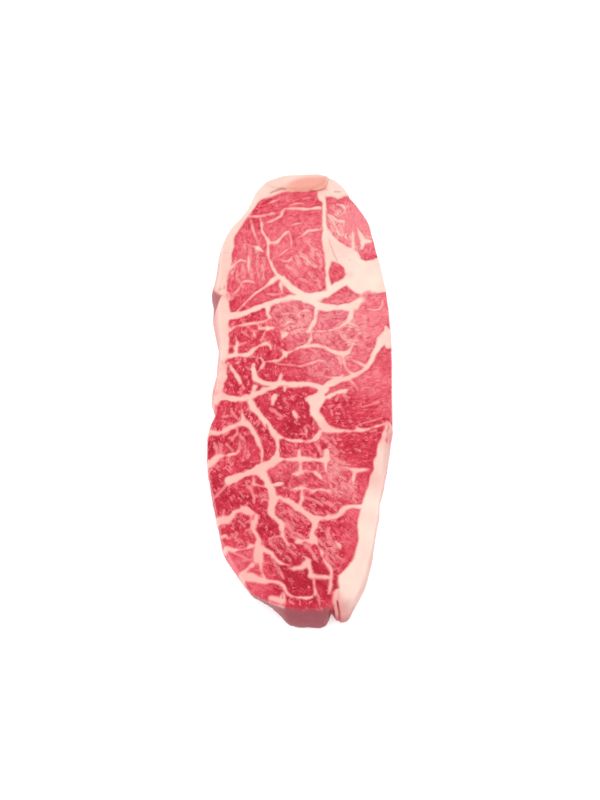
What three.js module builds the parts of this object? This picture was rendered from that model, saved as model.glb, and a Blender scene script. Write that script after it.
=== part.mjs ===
// A raw sirloin steak lying flat on its cut face: one closed solid, in millimetres, +Z up.
//
// The upper cut face is bounded by a rim. Below the rim the side swells out, or tucks in,
// by an amount that changes round the steak, and then rounds into the flat underside.
// X runs across the steak, Y along it, with the fat lip at +Y and the cleft tail at -Y.
// The origin is the middle of the bounding box, on the underside.

import * as THREE from 'three';

// Driving dimensions, in millimetres.
const THICKNESS = 20;
const SHOULDER_RADIUS = 1.4;   // the cut face turns into the side
const FOOT_RADIUS = 2.6;       // the side turns into the underside
const SIDE_BULGE = 0.5;        // the side's own roundness, half way up
const LIP = { height: 1.3, middle: [-3, 107.6], halfWidth: 17.5, bow: 7, softness: 2.4 };
const LIP_CREASE = { depth: 0.9, width: 1.6 };
const CRACK = { x: 18.4, from: -106.5, depth: 1.8, width: 1.5 };   // in the fat at the tail
const WAVES = [                // slow rises and hollows of the cut face
  { height: 0.30, lengthX: 84, lengthY: 118, phase: 0.9 },
  { height: 0.18, lengthX: 47, lengthY: -62, phase: 2.3 },
];
const SPINE = { x: 0.5, halfLength: 92 };   // the line that the face's rings close in on

// How finely the skin is divided.
const STEPS_BETWEEN = 2;       // steps from one point of the rim to the next
const FACE_RINGS = 13;         // on the cut face, from the rim to the spine
const SHOULDER_RINGS = 3;
const SIDE_RINGS = 4;
const FOOT_RINGS = 3;
const UNDER_RINGS = 2;
const INNER_SHARE = 0.1;       // the innermost ring keeps this share of the way to the rim

// The rim of the cut face, anticlockwise from above: x, y, and how far the side
// stands out below it (minus where it is undercut).
const RIM = [
  [0, 116.5, 0.6], [-7.5, 116.4, 0.6], [-13, 114.7, 0.7], [-18.6, 112, 0.8],
  [-22, 107.9, 1.0], [-25.8, 99.6, 1.0], [-30, 92.7, 1.4], [-35.4, 86, 1.8],
  [-38.3, 79.5, 2.4], [-39.2, 71, 3.1], [-39.4, 62, 4.3], [-39.9, 55.5, 5.3],
  [-39.4, 48.5, 4.7], [-39, 41, 5.5], [-38.7, 33, 4.2], [-38.3, 25, 2.9],
  [-38.2, 18.5, 3.4], [-38.7, 9, 3.8], [-39.9, 1, 4.5], [-40.9, -4.8, 3.4],
  [-41.3, -9, 1.6], [-41.6, -14, 0.4], [-44.2, -20, 0.5], [-45.5, -27, 0.5],
  [-45.7, -35, 0.5], [-44.8, -44, 0.5], [-42.4, -58, 0.5], [-39.4, -72, 0.5],
  [-36.9, -83, 0.5], [-33.9, -88.8, 0.1], [-29.2, -96.6, 0], [-26.8, -101.5, -0.2],
  [-24.4, -106, -0.4], [-20, -109.2, -1.4], [-15, -111.2, -1.5], [-11.2, -112.5, -0.2],
  [-8.2, -113.2, 1.8], [-5, -113.6, 4.5], [-1, -113.9, 5.7], [5, -113.9, 5.8],
  [9, -113.8, 6.2], [11.6, -113.5, 5.4], [13.2, -113.2, 3.4], [14.4, -112.9, 1.0],
  [15.3, -112.5, 0.3], [16.6, -112.3, 2.4], [18.6, -112, 5.0], [20.6, -111.4, 5.4],
  [23, -109.6, 3.4], [26, -105, 2.8], [28.2, -99, 3.6], [30.4, -93, 3.1],
  [32.2, -85.5, 3.2], [34, -78.5, 2.4], [35.9, -71, 1.6], [36.9, -64, 2.0],
  [37.6, -58, 1.6], [39, -50, 2.2], [40.3, -41, 2.8], [41.2, -33, 3.1],
  [42, -26, 3.3], [43.8, -20, 2.5], [45.2, -14, 1.0], [45.6, 0, 0.4],
  [45.7, 18, 0.4], [45.3, 32, 0.4], [43.8, 49.5, 0.4], [41.2, 63, 0.4],
  [38.4, 75.5, 0.4], [37, 82, 0.4], [34.6, 90.8, 0.5], [30, 98, 0.5],
  [25.6, 104.2, 0.5], [22.2, 109.9, 0.6], [17.6, 114.2, 0.6], [10, 116.9, 0.6],
];

const ROUND = STEPS_BETWEEN * RIM.length;

const smoothstep = (from, to, value) => THREE.MathUtils.smoothstep(value, from, to);
const bell = (distance, width) => Math.exp(-((distance / width) ** 2));

// Height of the cut face above the underside.
function faceHeight(x, y) {
  let height = THICKNESS;
  for (const wave of WAVES) {
    const angle = 2 * Math.PI * (x / wave.lengthX + y / wave.lengthY) + wave.phase;
    height += wave.height * Math.sin(angle);
  }
  const alongLip = (x - LIP.middle[0]) / LIP.halfWidth;
  const pastCrease = y - LIP.middle[1] - LIP.bow * alongLip ** 4;
  height += LIP.height * smoothstep(0, LIP.softness, pastCrease);
  height -= LIP_CREASE.depth * bell(pastCrease, LIP_CREASE.width);
  height -= CRACK.depth * bell(x - CRACK.x, CRACK.width)
    * (1 - smoothstep(CRACK.from - CRACK.depth, CRACK.from, y));
  return height;
}

// Stations on a smooth curve through the rim's points, each with its outward direction,
// its swell and the place on the spine that it looks at.
function rimStations() {
  const corners = RIM.map(([x, y, swell]) => new THREE.Vector3(x, y, swell));
  const curve = new THREE.CatmullRomCurve3(corners, true, 'centripetal');
  return Array.from({ length: ROUND }, (_, step) => {
    const at = curve.getPoint(step / ROUND);
    const along = curve.getTangent(step / ROUND);
    const outward = new THREE.Vector2(along.y, -along.x).normalize();
    const spineY = THREE.MathUtils.clamp(at.y, -SPINE.halfLength, SPINE.halfLength);
    return { x: at.x, y: at.y, swell: at.z, outward, spineY };
  });
}

// A ring that stands off the rim by a distance, then closes in on the spine by a share.
function ring(stations, offsetOf, shareOut, heightOf) {
  return stations.map((station) => {
    const offset = offsetOf(station);
    const edgeX = station.x + station.outward.x * offset;
    const edgeY = station.y + station.outward.y * offset;
    const x = THREE.MathUtils.lerp(SPINE.x, edgeX, shareOut);
    const y = THREE.MathUtils.lerp(station.spineY, edgeY, shareOut);
    return new THREE.Vector3(x, y, heightOf(x, y));
  });
}

// How far the side stands off the rim at a height: a quarter sine from rim to floor for
// the swell, and a half sine for the roundness.
function sideOffset(station, height) {
  const down = Math.PI * (1 - height / THICKNESS);
  return station.swell * Math.sin(0.5 * down) + SIDE_BULGE * Math.sin(down);
}

function steakRings(stations) {
  const rings = [];
  for (let step = 0; step < FACE_RINGS; step += 1) {
    const share = INNER_SHARE + (1 - INNER_SHARE) * (step / FACE_RINGS);
    rings.push(ring(stations, () => -SHOULDER_RADIUS, share, faceHeight));
  }
  for (let step = 0; step <= SHOULDER_RINGS; step += 1) {
    const turn = 0.5 * Math.PI * (step / SHOULDER_RINGS);
    const inset = SHOULDER_RADIUS * (Math.sin(turn) - 1);
    const drop = SHOULDER_RADIUS * (1 - Math.cos(turn));
    rings.push(ring(stations, () => inset, 1, (x, y) => faceHeight(x, y) - drop));
  }
  const sideTop = THICKNESS - SHOULDER_RADIUS;
  for (let step = 1; step <= SIDE_RINGS; step += 1) {
    const height = THREE.MathUtils.lerp(sideTop, FOOT_RADIUS, step / SIDE_RINGS);
    rings.push(ring(stations, (station) => sideOffset(station, height), 1, () => height));
  }
  for (let step = 1; step <= FOOT_RINGS; step += 1) {
    const turn = 0.5 * Math.PI * (step / FOOT_RINGS);
    const inset = FOOT_RADIUS * (1 - Math.cos(turn));
    const height = FOOT_RADIUS * (1 - Math.sin(turn));
    const offsetOf = (station) => sideOffset(station, height) - inset;
    rings.push(ring(stations, offsetOf, 1, () => height));
  }
  for (let step = 1; step <= UNDER_RINGS; step += 1) {
    const share = 1 - (1 - INNER_SHARE) * (step / UNDER_RINGS);
    rings.push(ring(stations, (station) => station.swell - FOOT_RADIUS, share, () => 0));
  }
  return rings;
}

// Triangles that close a long ring, worked down both of its sides from the lip end and
// crossed each time by the shorter way; facing +1 looks up and -1 looks down.
function cap(points, firstIndex, facing) {
  const indices = [];
  let left = 0;
  let right = ROUND - 1;
  while (left + 1 < right) {
    const toLeft = points[left + 1].distanceTo(points[right]);
    const toRight = points[right - 1].distanceTo(points[left]);
    const third = toLeft < toRight ? left + 1 : right - 1;
    const triangle = [left, third, right].map((index) => firstIndex + index);
    indices.push(...(facing > 0 ? triangle : triangle.reverse()));
    if (toLeft < toRight) left += 1;
    else right -= 1;
  }
  return indices;
}

function steakGeometry() {
  const rings = steakRings(rimStations());
  const indices = cap(rings[0], 0, 1);
  for (let row = 0; row + 1 < rings.length; row += 1) {
    for (let step = 0; step < ROUND; step += 1) {
      const next = (step + 1) % ROUND;
      const inner = [row * ROUND + step, row * ROUND + next];
      const outer = [(row + 1) * ROUND + step, (row + 1) * ROUND + next];
      indices.push(inner[0], outer[0], outer[1], inner[0], outer[1], inner[1]);
    }
  }
  const last = rings.length - 1;
  indices.push(...cap(rings[last], last * ROUND, -1));

  const geometry = new THREE.BufferGeometry().setFromPoints(rings.flat());
  geometry.setIndex(indices);
  geometry.computeBoundingBox();
  const { min, max } = geometry.boundingBox;
  geometry.translate(-(min.x + max.x) / 2, -(min.y + max.y) / 2, -min.z);
  geometry.computeVertexNormals();
  return geometry;
}

const rawBeef = new THREE.MeshStandardMaterial({
  color: '#d6485a', roughness: 0.5, metalness: 0,
});

const steak = new THREE.Mesh(steakGeometry(), rawBeef);
steak.name = 'steak';

const model = new THREE.Group();
model.add(steak);

export default model;
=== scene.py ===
import itertools
import math

import bpy
import numpy as np
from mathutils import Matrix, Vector


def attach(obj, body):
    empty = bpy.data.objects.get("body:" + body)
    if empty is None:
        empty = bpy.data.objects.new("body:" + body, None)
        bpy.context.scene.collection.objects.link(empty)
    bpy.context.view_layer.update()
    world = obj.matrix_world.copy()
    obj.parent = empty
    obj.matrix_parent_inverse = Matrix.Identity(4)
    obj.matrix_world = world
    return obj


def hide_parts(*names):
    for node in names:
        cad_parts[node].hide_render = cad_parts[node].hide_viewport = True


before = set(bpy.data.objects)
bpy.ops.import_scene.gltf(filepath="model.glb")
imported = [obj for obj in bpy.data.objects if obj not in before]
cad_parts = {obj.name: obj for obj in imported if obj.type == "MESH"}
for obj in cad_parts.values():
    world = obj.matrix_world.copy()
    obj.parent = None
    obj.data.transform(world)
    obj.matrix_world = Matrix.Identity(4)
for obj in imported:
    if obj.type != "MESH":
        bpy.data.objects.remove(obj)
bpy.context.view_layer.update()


# The slice of sirloin.
# One piece of raw beef, cut across the loin into a long oval slice and laid on its lower
# cut face. Its rim is soft where the outer fat rounds over, and crisper where lean meets air.

MM = 0.001                  # the values below are in millimetres, and the mesh is in metres
THICKNESS = 20.0
FOOT_RADIUS = 2.6
SIDE_BULGE = 0.5
SPINE_X = 0.5               # the rings of each face close in on a line that lies along the slice
SPINE_HALF = 100.0
SPINE_GAP = 0.008           # share of the way to the rim where the innermost ring lies
LIP_MIDDLE = (-3.0, 107.6)  # the crease in front of the raised lip of fat
LIP_HALF_WIDTH = 17.5
LIP_BOW = 7.0
LIP_HEIGHT = 1.3
LIP_SOFTNESS = 2.0
WAVES = [(0.30, 84.0, 118.0, 0.9), (0.18, 47.0, -62.0, 2.3)]   # height, length X, length Y, phase

# The rim of the cut face, anticlockwise from above: x, y, and how far the side stands out.
RIM = np.array([
    (0, 116.5, 0.6), (-7.5, 116.4, 0.6), (-13, 114.7, 0.7), (-18.6, 112, 0.8),
    (-22, 107.9, 1.0), (-25.8, 99.6, 1.0), (-30, 92.7, 1.4), (-35.4, 86, 1.8),
    (-38.3, 79.5, 2.4), (-39.2, 71, 3.1), (-39.4, 62, 4.3), (-39.9, 55.5, 5.3),
    (-39.4, 48.5, 4.7), (-39, 41, 5.5), (-38.7, 33, 4.2), (-38.3, 25, 2.9),
    (-38.2, 18.5, 3.4), (-38.7, 9, 3.8), (-39.9, 1, 4.5), (-40.9, -4.8, 3.4),
    (-41.3, -9, 1.6), (-41.6, -14, 0.4), (-44.2, -20, 0.5), (-45.5, -27, 0.5),
    (-45.7, -35, 0.5), (-44.8, -44, 0.5), (-42.4, -58, 0.5), (-39.4, -72, 0.5),
    (-36.9, -83, 0.5), (-33.9, -88.8, 0.1), (-29.2, -96.6, -0.4), (-26.8, -101.5, -1.4),
    (-24.4, -106, -2.4), (-20, -109.2, -2.8), (-15, -111.2, -2.0), (-11.2, -112.5, -0.4),
    (-8.2, -113.2, 1.8), (-5, -113.6, 4.5), (-1, -113.9, 5.7), (5, -113.9, 5.8),
    (9, -113.8, 6.2), (11.6, -113.5, 5.4), (13.2, -113.2, 3.4), (14.4, -112.9, 1.0),
    (15.3, -112.5, 0.3), (16.6, -112.3, 2.4), (18.6, -112, 5.0), (20.6, -111.4, 5.4),
    (23, -109.6, 3.4), (26, -105, 2.8), (28.2, -99, 3.6), (30.4, -93, 3.1),
    (32.2, -85.5, 3.2), (34, -78.5, 2.4), (35.9, -71, 1.6), (36.9, -64, 2.0),
    (37.6, -58, 1.6), (39, -50, 2.2), (40.3, -41, 2.8), (41.2, -33, 3.1),
    (42, -26, 3.3), (43.8, -20, 2.5), (45.2, -14, 1.0), (45.6, 0, 0.4),
    (45.7, 18, 0.4), (45.3, 32, 0.4), (43.8, 49.5, 0.4), (41.2, 63, 0.4),
    (38.4, 75.5, 0.4), (37, 82, 0.4), (34.6, 90.8, 0.5), (30, 98, 0.5),
    (25.6, 104.2, 0.5), (22.2, 109.9, 0.6), (17.6, 114.2, 0.6), (10, 116.9, 0.6),
])

ROUND = 940                 # stations round the rim
FACE_RINGS = 72             # from the spine of the face to its shoulder
SHOULDER_RINGS = 5
SIDE_RINGS = 9
FOOT_RINGS = 3
UNDER_RINGS = 12


def smoothstep(low, high, value):
    share = np.clip((value - low) / (high - low), 0, 1)
    return share * share * (3 - 2 * share)


def rim_stations(corners, count, steps=40):
    """Even stations on a closed centripetal curve: place and swell, the way out, and the way on."""
    before, start, end, after = (np.roll(corners, turn, axis=0) for turn in (1, 0, -1, -2))
    gap_a, gap_b, gap_c = (
        np.sqrt(np.linalg.norm(far - near, axis=1))[:, None]
        for near, far in ((before, start), (start, end), (end, after))
    )
    leave = (start - before) / gap_a - (end - before) / (gap_a + gap_b) + (end - start) / gap_b
    arrive = (end - start) / gap_b - (after - start) / (gap_b + gap_c) + (after - end) / gap_c
    leave = (leave * gap_b)[:, None]
    arrive = (arrive * gap_b)[:, None]
    start = start[:, None]
    end = end[:, None]
    t = np.linspace(0, 1, steps, endpoint=False)[None, :, None]
    square = 3 * end - 3 * start - 2 * leave - arrive
    cube = 2 * start - 2 * end + leave + arrive
    curve = (start + leave * t + square * t**2 + cube * t**3).reshape(-1, 3)
    closed = np.vstack([curve, curve[:1]])
    walked = np.concatenate([[0], np.cumsum(np.linalg.norm(np.diff(closed[:, :2], axis=0), axis=1))])
    wanted = np.linspace(0, walked[-1], count, endpoint=False)
    place = np.stack([np.interp(wanted, walked, closed[:, axis]) for axis in range(3)], axis=1)
    along = np.roll(place, -2, axis=0)[:, :2] - np.roll(place, 2, axis=0)[:, :2]
    along /= np.linalg.norm(along, axis=1)[:, None]
    return place, np.stack([along[:, 1], -along[:, 0]], axis=1), along


def face_height(x, y):
    height = np.full_like(x, THICKNESS)
    for rise, length_x, length_y, phase in WAVES:
        height = height + rise * np.sin(2 * math.pi * (x / length_x + y / length_y) + phase)
    past_crease = y - LIP_MIDDLE[1] - LIP_BOW * ((x - LIP_MIDDLE[0]) / LIP_HALF_WIDTH) ** 4
    return height + LIP_HEIGHT * smoothstep(0, LIP_SOFTNESS, past_crease)


def side_offset(swell, height):
    down = math.pi * (1 - height / THICKNESS)
    return swell * np.sin(0.5 * down) + SIDE_BULGE * np.sin(down)


place, outward, along = rim_stations(RIM, ROUND)
rim_x, rim_y, swell = place.T
spine_y = np.clip(rim_y, -SPINE_HALF, SPINE_HALF)

# The shoulder is broad on the outer fat, which comes in between these places on the rim.
CAP_ALONG, CAP_ACROSS = (-14, 2), (8, -8)
WEDGE_ALONG, WEDGE_ACROSS = (-22, -34), (15, 18)
LIP_ALONG = (100, 112)
SHOULDER = 1.3                          # its width and its drop where lean meets air
CAP_WIDER, CAP_DEEPER = 2.4, 0.9        # what the fat adds to them
WEDGE_WIDER, WEDGE_DEEPER = 2.2, 2.4
left_fat = smoothstep(*CAP_ALONG, rim_y) * smoothstep(*CAP_ACROSS, rim_x)
right_fat = smoothstep(*WEDGE_ALONG, rim_y) * smoothstep(*WEDGE_ACROSS, rim_x)
lip_fat = smoothstep(*LIP_ALONG, rim_y)
shoulder_wide = SHOULDER + CAP_WIDER * np.maximum(left_fat, lip_fat) + WEDGE_WIDER * right_fat
shoulder_drop = SHOULDER + CAP_DEEPER * np.maximum(left_fat, lip_fat) + WEDGE_DEEPER * right_fat

rings = []      # x, y and z of each ring, how far it is on the side, and its share of the way out


def add_ring(offset, share, height, side):
    x = SPINE_X + (rim_x + outward[:, 0] * offset - SPINE_X) * share
    y = spine_y + (rim_y + outward[:, 1] * offset - spine_y) * share
    z = height(x, y) if callable(height) else np.broadcast_to(height, x.shape)
    rings.append((x, y, z, np.broadcast_to(side, x.shape), np.full_like(x, share)))


for step in range(FACE_RINGS):
    reach = SPINE_GAP + (1 - SPINE_GAP) * step / FACE_RINGS
    add_ring(-shoulder_wide, reach, face_height, 0)
for step in range(SHOULDER_RINGS + 1):
    turn = 0.5 * math.pi * step / SHOULDER_RINGS
    drop = shoulder_drop * (1 - math.cos(turn))
    inset = shoulder_wide * (math.sin(turn) - 1)
    below = side_offset(swell, THICKNESS - drop)
    add_ring(below + inset, 1, lambda x, y: face_height(x, y) - drop, math.sin(turn) ** 2)
for step in range(1, SIDE_RINGS + 1):
    height = THICKNESS - shoulder_drop
    height = height + (FOOT_RADIUS - height) * step / SIDE_RINGS
    add_ring(side_offset(swell, height), 1, height, 1)
for step in range(1, FOOT_RINGS + 1):
    turn = 0.5 * math.pi * step / FOOT_RINGS
    height = FOOT_RADIUS * (1 - math.sin(turn))
    inset = FOOT_RADIUS * (1 - math.cos(turn))
    add_ring(side_offset(swell, height) - inset, 1, height, 1)
for step in range(1, UNDER_RINGS + 1):
    add_ring(swell - FOOT_RADIUS, 1 - (1 - SPINE_GAP) * step / UNDER_RINGS, 0, 0)

shape = np.array([[ring[part] for ring in rings] for part in range(5)])   # part, ring, station
x, y, z, side, share = shape.reshape(5, -1)
middle = np.array([(x.min() + x.max()) / 2, (y.min() + y.max()) / 2])
points = np.stack([x - middle[0], y - middle[1], z], axis=1)


# The fat that grows through the slice.
# Seams of soft fat part the muscle into bundles, swell where they meet and fray into it, and the
# same fat covers the outside: a cap on the left, a lip at the far end and a wedge on the right.

PATTERN_SHIFT = 0.6         # from the seams' own Y to the slice's
OUTSIDE = 60.0              # a region of outer fat is closed well outside the rim, this far from X = 0

# Each seam is a run of points: x, y and the seam's full width there.
SEAMS = [
    # the far end, with the long trunk that comes down from the lip
    [(-8, 98, 1.2), (-5, 98.3, 1.6), (0, 98, 1.7), (5, 98, 1.5), (10, 98.2, 2)],
    [(-5, 100.2, .7), (-2, 101, 1.1), (1.5, 101.1, .7)],
    [(-16, 101.2, .7), (-13.5, 102.4, 1.1), (-11, 103.4, .8)],
    [(1.5, 103.7, .7), (5, 104.4, .8)],
    [(-4.5, 88.5, .5), (-2, 89.4, .8), (1, 89.7, .6)],
    [(-8, 98, 1.3), (-9.5, 96, 1.3), (-10, 94, 1.2), (-12, 92.5, 1.2), (-15, 90.8, 1.2),
     (-17, 90.2, .8)],
    [(-17.5, 94.2, 1.2), (-15, 95.2, 1.3), (-13, 95.5, .8)],
    [(-26, 93.8, 1), (-22, 93.6, 1.5), (-18.5, 94, 1.8)],
    [(-20.5, 93, 1.5), (-20.3, 90, 1.5), (-19.5, 86, 1.6), (-18, 83, 1.8), (-16.5, 80, 1.8),
     (-16.3, 75, 1.5), (-16, 70, 1.5), (-14.5, 65.5, 1.7), (-12.5, 62, 2), (-11, 60, 2.5)],
    [(-16, 79, 1.6), (-12, 79.2, 1.6), (-9.5, 81.5, 1.2), (-7, 84.5, 1.3), (-6, 85, 1.5)],
    [(-5.5, 84, .8), (-4.5, 79, .8), (-4.5, 76, .5)],
    [(-25.6, 91.5, 1.2), (-24.6, 87, 1.2), (-23, 82.5, 1.1), (-21.2, 78.5, .8)],
    [(-27, 78.5, .9), (-25, 77.2, 1.5)],
    [(-24, 77.2, 1.2), (-22, 76.2, 2.4), (-20.5, 75.2, 2), (-18.8, 73.8, .9)],
    [(-25.8, 76.5, .8), (-25.2, 73, .7), (-24.8, 69.5, .5)],
    [(-22.5, 76, 1.6), (-22.5, 73, 1)],
    [(11, 86.3, 1.4), (7, 85.9, 1.2), (4, 85.6, 1.8), (2.5, 84.3, 1.5), (.5, 82.6, .9),
     (-1.5, 81.5, .5)],
    [(-13.2, 79, 1.4), (-13.5, 77.4, .9)],
    [(-11.5, 71.2, .6), (-9.5, 72.4, .8), (-7.6, 74.6, 1.1), (-5.8, 75.6, .8)],
    [(-9.8, 69.3, .6), (-8.3, 68.4, .9), (-6, 68.3, 1.1), (-4.6, 69.6, 1.1), (-4.3, 70.8, .7)],
    [(-4.6, 69.4, .9), (-3.2, 68, .7)],
    [(10.8, 109, 4.4), (11, 106, 4.6), (11.3, 104, 4.2), (12.3, 102.6, 2.6), (12.8, 101, 2),
     (12.5, 98, 2.5), (12.5, 95, 2.3), (12.8, 90, 2.3), (13, 86, 3), (13, 82, 4), (13, 78, 3.5),
     (13.5, 74, 3), (14, 70, 2.5), (14, 66, 2.2), (14, 60, 2), (14.3, 56, 2), (14.5, 52, 2)],
    [(14.8, 93.8, 1.2), (16.7, 91.7, 1.3), (17.6, 89.4, 1.2), (18.4, 87.4, .8)],
    [(15, 94.2, 1), (17, 93.5, 1.4), (19, 91.4, 1.9), (21, 90.6, 2.2), (22.5, 90.6, 1.8),
     (22.7, 87, 1)],
    [(19, 100.4, .7), (21.5, 99.7, 1), (22.7, 98.4, 1.4), (23.2, 97.3, 1.7)],
    [(18.8, 87.4, .8), (19.4, 85.2, 1.4), (20.6, 82.8, 1.2)],
    [(27.3, 87, 1), (27.2, 83.6, 1.9), (27.2, 80, 2), (27.6, 76, 2)],
    [(24.2, 82.5, 1.2), (25.8, 82, 1.9), (27, 81, 1.6)],
    [(29.2, 87.5, 1), (30.4, 85, 2), (31.4, 82.5, 2.7), (32.4, 79.8, 3.2), (35.6, 79.2, 2.3)],
    [(32, 79, 2.6), (31.4, 76, 1.8)],
    [(-29.6, 57, .8), (-28.3, 57.5, 1.3), (-26, 57.4, 1.4), (-23.8, 57, 1.2), (-22.4, 55.7, .6)],
    [(-29.8, 56.4, .9), (-31.5, 53, 1), (-33.5, 50.4, 1.3), (-34.8, 47.8, 1.2)],
    [(-34, 50.5, .9), (-31, 49.5, .9)],
    [(-35.8, 64.5, 2.6), (-34, 66.3, 1.9), (-32, 67.8, 1.2), (-30.3, 69.3, 1.2), (-28.3, 68.6, 1.6)],
    [(-26, 72, .8), (-26.5, 66, 1.5), (-26.5, 62, 1)],
    [(-22, 68, .7), (-22, 63, .8)],
    [(-17, 50.4, .6), (-14, 50.2, .9), (-11, 50.2, .8), (-8.5, 50.8, .6)],
    [(-9.7, 56.5, 2.2), (-9.3, 53.4, 1.3), (-9.3, 51, .8)],
    [(-8.3, 57.8, 1.6), (-7.9, 60.6, .7)],
    # the fork and the great seam across
    [(-12, 59, 3), (-15, 56.5, 2.5), (-18, 54, 1.3), (-22, 51, .9), (-26, 47, .9), (-30, 43, .9),
     (-32, 41, 1)],
    [(-11, 60, 3), (-8, 57, 3.5), (-5, 54.5, 4), (-2, 52, 4), (2, 49.5, 4.5), (6, 48.5, 5),
     (10, 49.5, 4.5), (14, 51, 4), (18, 54, 2.5), (22, 57, 3)],
    [(-35.5, 38, 4.5), (-30, 39, 3.2), (-25, 41, 3), (-20, 43, 3), (-15, 45, 3.2), (-10, 47, 3),
     (-5, 48, 3.5), (0, 48, 4), (5, 47, 4), (10, 43.5, 4.5), (15, 43, 3.5), (20, 43, 3.2), (25, 43, 4),
     (28, 44, 5), (31, 47, 4)],
    [(26, 42, 3), (25.5, 37.5, 3), (24, 35, 2.3), (20, 32.2, 1.3), (17, 31.3, 1.2), (13, 30.3, 1.1),
     (9, 30, 1.1)],
    [(24.3, 34.8, 1.6), (26.6, 33.8, 1.1), (29, 32.4, .8), (30, 31.4, .6)],
    [(34.5, 41.8, 1), (37.5, 41.3, .9), (40.5, 42, .9), (42, 44.5, .8), (42, 47, .8)],
    [(8.3, 42, 3), (8, 38, 2.6), (7.3, 35, 2.3), (5.4, 32, 2), (3.8, 29.9, 2.2), (.6, 28.8, 1.1)],
    [(3.6, 29.4, 1.8), (6.1, 29.9, 1.3), (9, 30, 1.1)],
    [(-16.5, 43, 3), (-16.5, 39, 2), (-15, 37, 1.3)],
    [(5.4, 29.2, 1.4), (5.6, 25.7, 1.3), (4.4, 23.4, 1.5), (1.9, 22.1, 1.6)],
    [(20.4, 31.5, .8), (20.8, 28.5, .8), (21.8, 26.3, .9), (23.4, 24.6, .8)],
    [(24.4, 18.6, 1.6), (25.6, 20.6, .9), (26.6, 23.6, 1.6), (29, 23, 1.1), (31.2, 21.6, .7)],
    [(12, 28.5, .6), (12.8, 27, .7), (12.2, 25.2, .6)],
    # between the great seam and the next
    [(-35, 30.6, 1.2), (-33.2, 32.2, 1.5), (-30, 33, 1.6), (-25.8, 33.7, 1.9), (-22, 34.1, 1.6),
     (-19, 34.7, 1.5), (-16.8, 35.8, 1.2), (-15.4, 37.4, 1.2)],
    [(-21.2, 33.4, 1), (-20.6, 31.3, 1), (-18.4, 30.9, 1.5), (-16.6, 31, 2.7), (-14.6, 31.4, 1.9),
     (-12.3, 31.7, 1.4), (-9.6, 32.5, 1.1), (-7.8, 33.4, 1), (-6.4, 34.8, 1.1), (-3.4, 34.9, 1.1),
     (0, 35.1, .9)],
    [(-16.9, 34, .8), (-16.6, 31.8, 1.4)],
    [(-29.3, 35.6, .6), (-28, 34.2, .9)],
    [(-16.6, 30.8, 1.8), (-17.8, 29.3, 1.1), (-18.4, 27.4, 1), (-19.9, 24.6, .8)],
    [(-11, 38.3, .7), (-8.3, 39.5, .9), (-3.2, 39.3, 1), (-1.1, 38.6, 1.8), (-.6, 37.3, 1.2),
     (-.2, 35.2, 1), (-.7, 32, .8)],
    [(-1.3, 39.2, 1.2), (1, 40.9, 1.2), (3.6, 41.6, 1.1), (6.1, 40.4, 1)],
    [(-7, 38.9, .7), (-6.7, 35.2, .9)],
    [(2.7, 39.8, .7), (4.4, 35.7, .8)],
    [(.4, 35, .8), (2.7, 34.4, .8), (4.6, 33.2, .8)],
    [(-29.3, 29.3, .6), (-27.3, 27.8, .8), (-25.7, 26.7, .6)],
    [(-31.6, 22, 1.4), (-29.5, 23.1, 1), (-27.2, 23.8, .7)],
    [(-18.8, 25.8, .7), (-17.2, 24.6, .9)],
    [(-27, 10.6, .7), (-26, 9.7, .8)],
    [(-27.7, 15.8, 1.3), (-27.6, 13.5, .9)],
    [(-22.3, 14.8, 1.2), (-21.2, 13, .8)],
    [(-32.5, 27.5, 1), (-31.5, 24, 1.6), (-32, 20, 2.5), (-32, 17.5, 3)],
    [(-36, 22, .8), (-33, 22, .8)],
    [(-25, 30.1, .8), (-21.9, 29.7, .8)],
    [(-23.4, 29.7, 1.5), (-22.9, 28, 2), (-22.7, 27, 1.4)],
    [(-8.8, 25.6, 1), (-7.9, 27.2, 2.3), (-6.8, 28.5, 2.7), (-5.4, 29.3, 1.3)],
    [(-10.6, 31.4, 1.2), (-9.4, 29.8, 1.5), (-8, 28.8, 1.8)],
    [(-32.1, 12.6, .7), (-31.2, 12.9, 1.1), (-30.4, 13.6, .6)],
    [(-36, 16, 2.5), (-31, 17, 2.2), (-26, 17.5, 2.2), (-23.5, 20, 2), (-20, 22.5, 1.6),
     (-17, 23.5, 1.3), (-15, 22, 1.2), (-14.5, 20, .9)],
    [(-25, 16.5, 1.2), (-20, 15.5, 1), (-18, 13.5, 1.2), (-14, 13.5, 1.3), (-11, 14, 1),
     (-8.5, 16, 1.4), (-7, 18, 1.8), (-3, 19.5, 1.5), (0, 21.5, 1.8), (4, 22, 2.2), (8, 22, 2),
     (12.3, 21.1, 2), (15.9, 19, 2.2), (19, 18, 3), (22, 18, 3.4), (24.3, 18.7, 2.5)],
    [(-18, 12.5, 1.8), (-20, 9.5, 1.2), (-22, 7, 1)],
    [(-8.5, 19.8, .8), (-7.2, 18, 1.6), (-6.8, 16.2, .8)],
    [(-12, 12.5, .8), (-8, 12, .8), (-4, 11.5, .8), (0, 10.8, .9), (3, 11.4, 1), (5.8, 12.2, 1.1),
     (9.1, 14.2, 1.1), (12, 13.9, .8)],
    [(-36, 13, 1.5), (-34, 9.5, 1.8), (-31, 5.5, 2.2), (-30, 3.5, 1.5), (-28, -1, .5)],
    [(-9.3, 7.4, .9), (-9.7, 5.6, 1.7), (-10.5, 2, 2)],
    # the seam that climbs to the right rim
    [(-23.5, 12, 2), (-23, 8, 2.6), (-22.5, 4.5, 3.2), (-19, 2.5, 2.4), (-14, 1, 2.4), (-8, 1.5, 3.3),
     (0, 1, 3.3), (5, 1, 2.8), (9, 0, 3), (12, -1, 4), (14, 1, 3.5), (18, 3.5, 4), (22, 4, 3),
     (27, 6, 2.5), (31, 8.5, 2.5), (34, 11, 2.5), (36.5, 16, 2.3), (39, 21, 3.5), (41, 25, 5),
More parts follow.
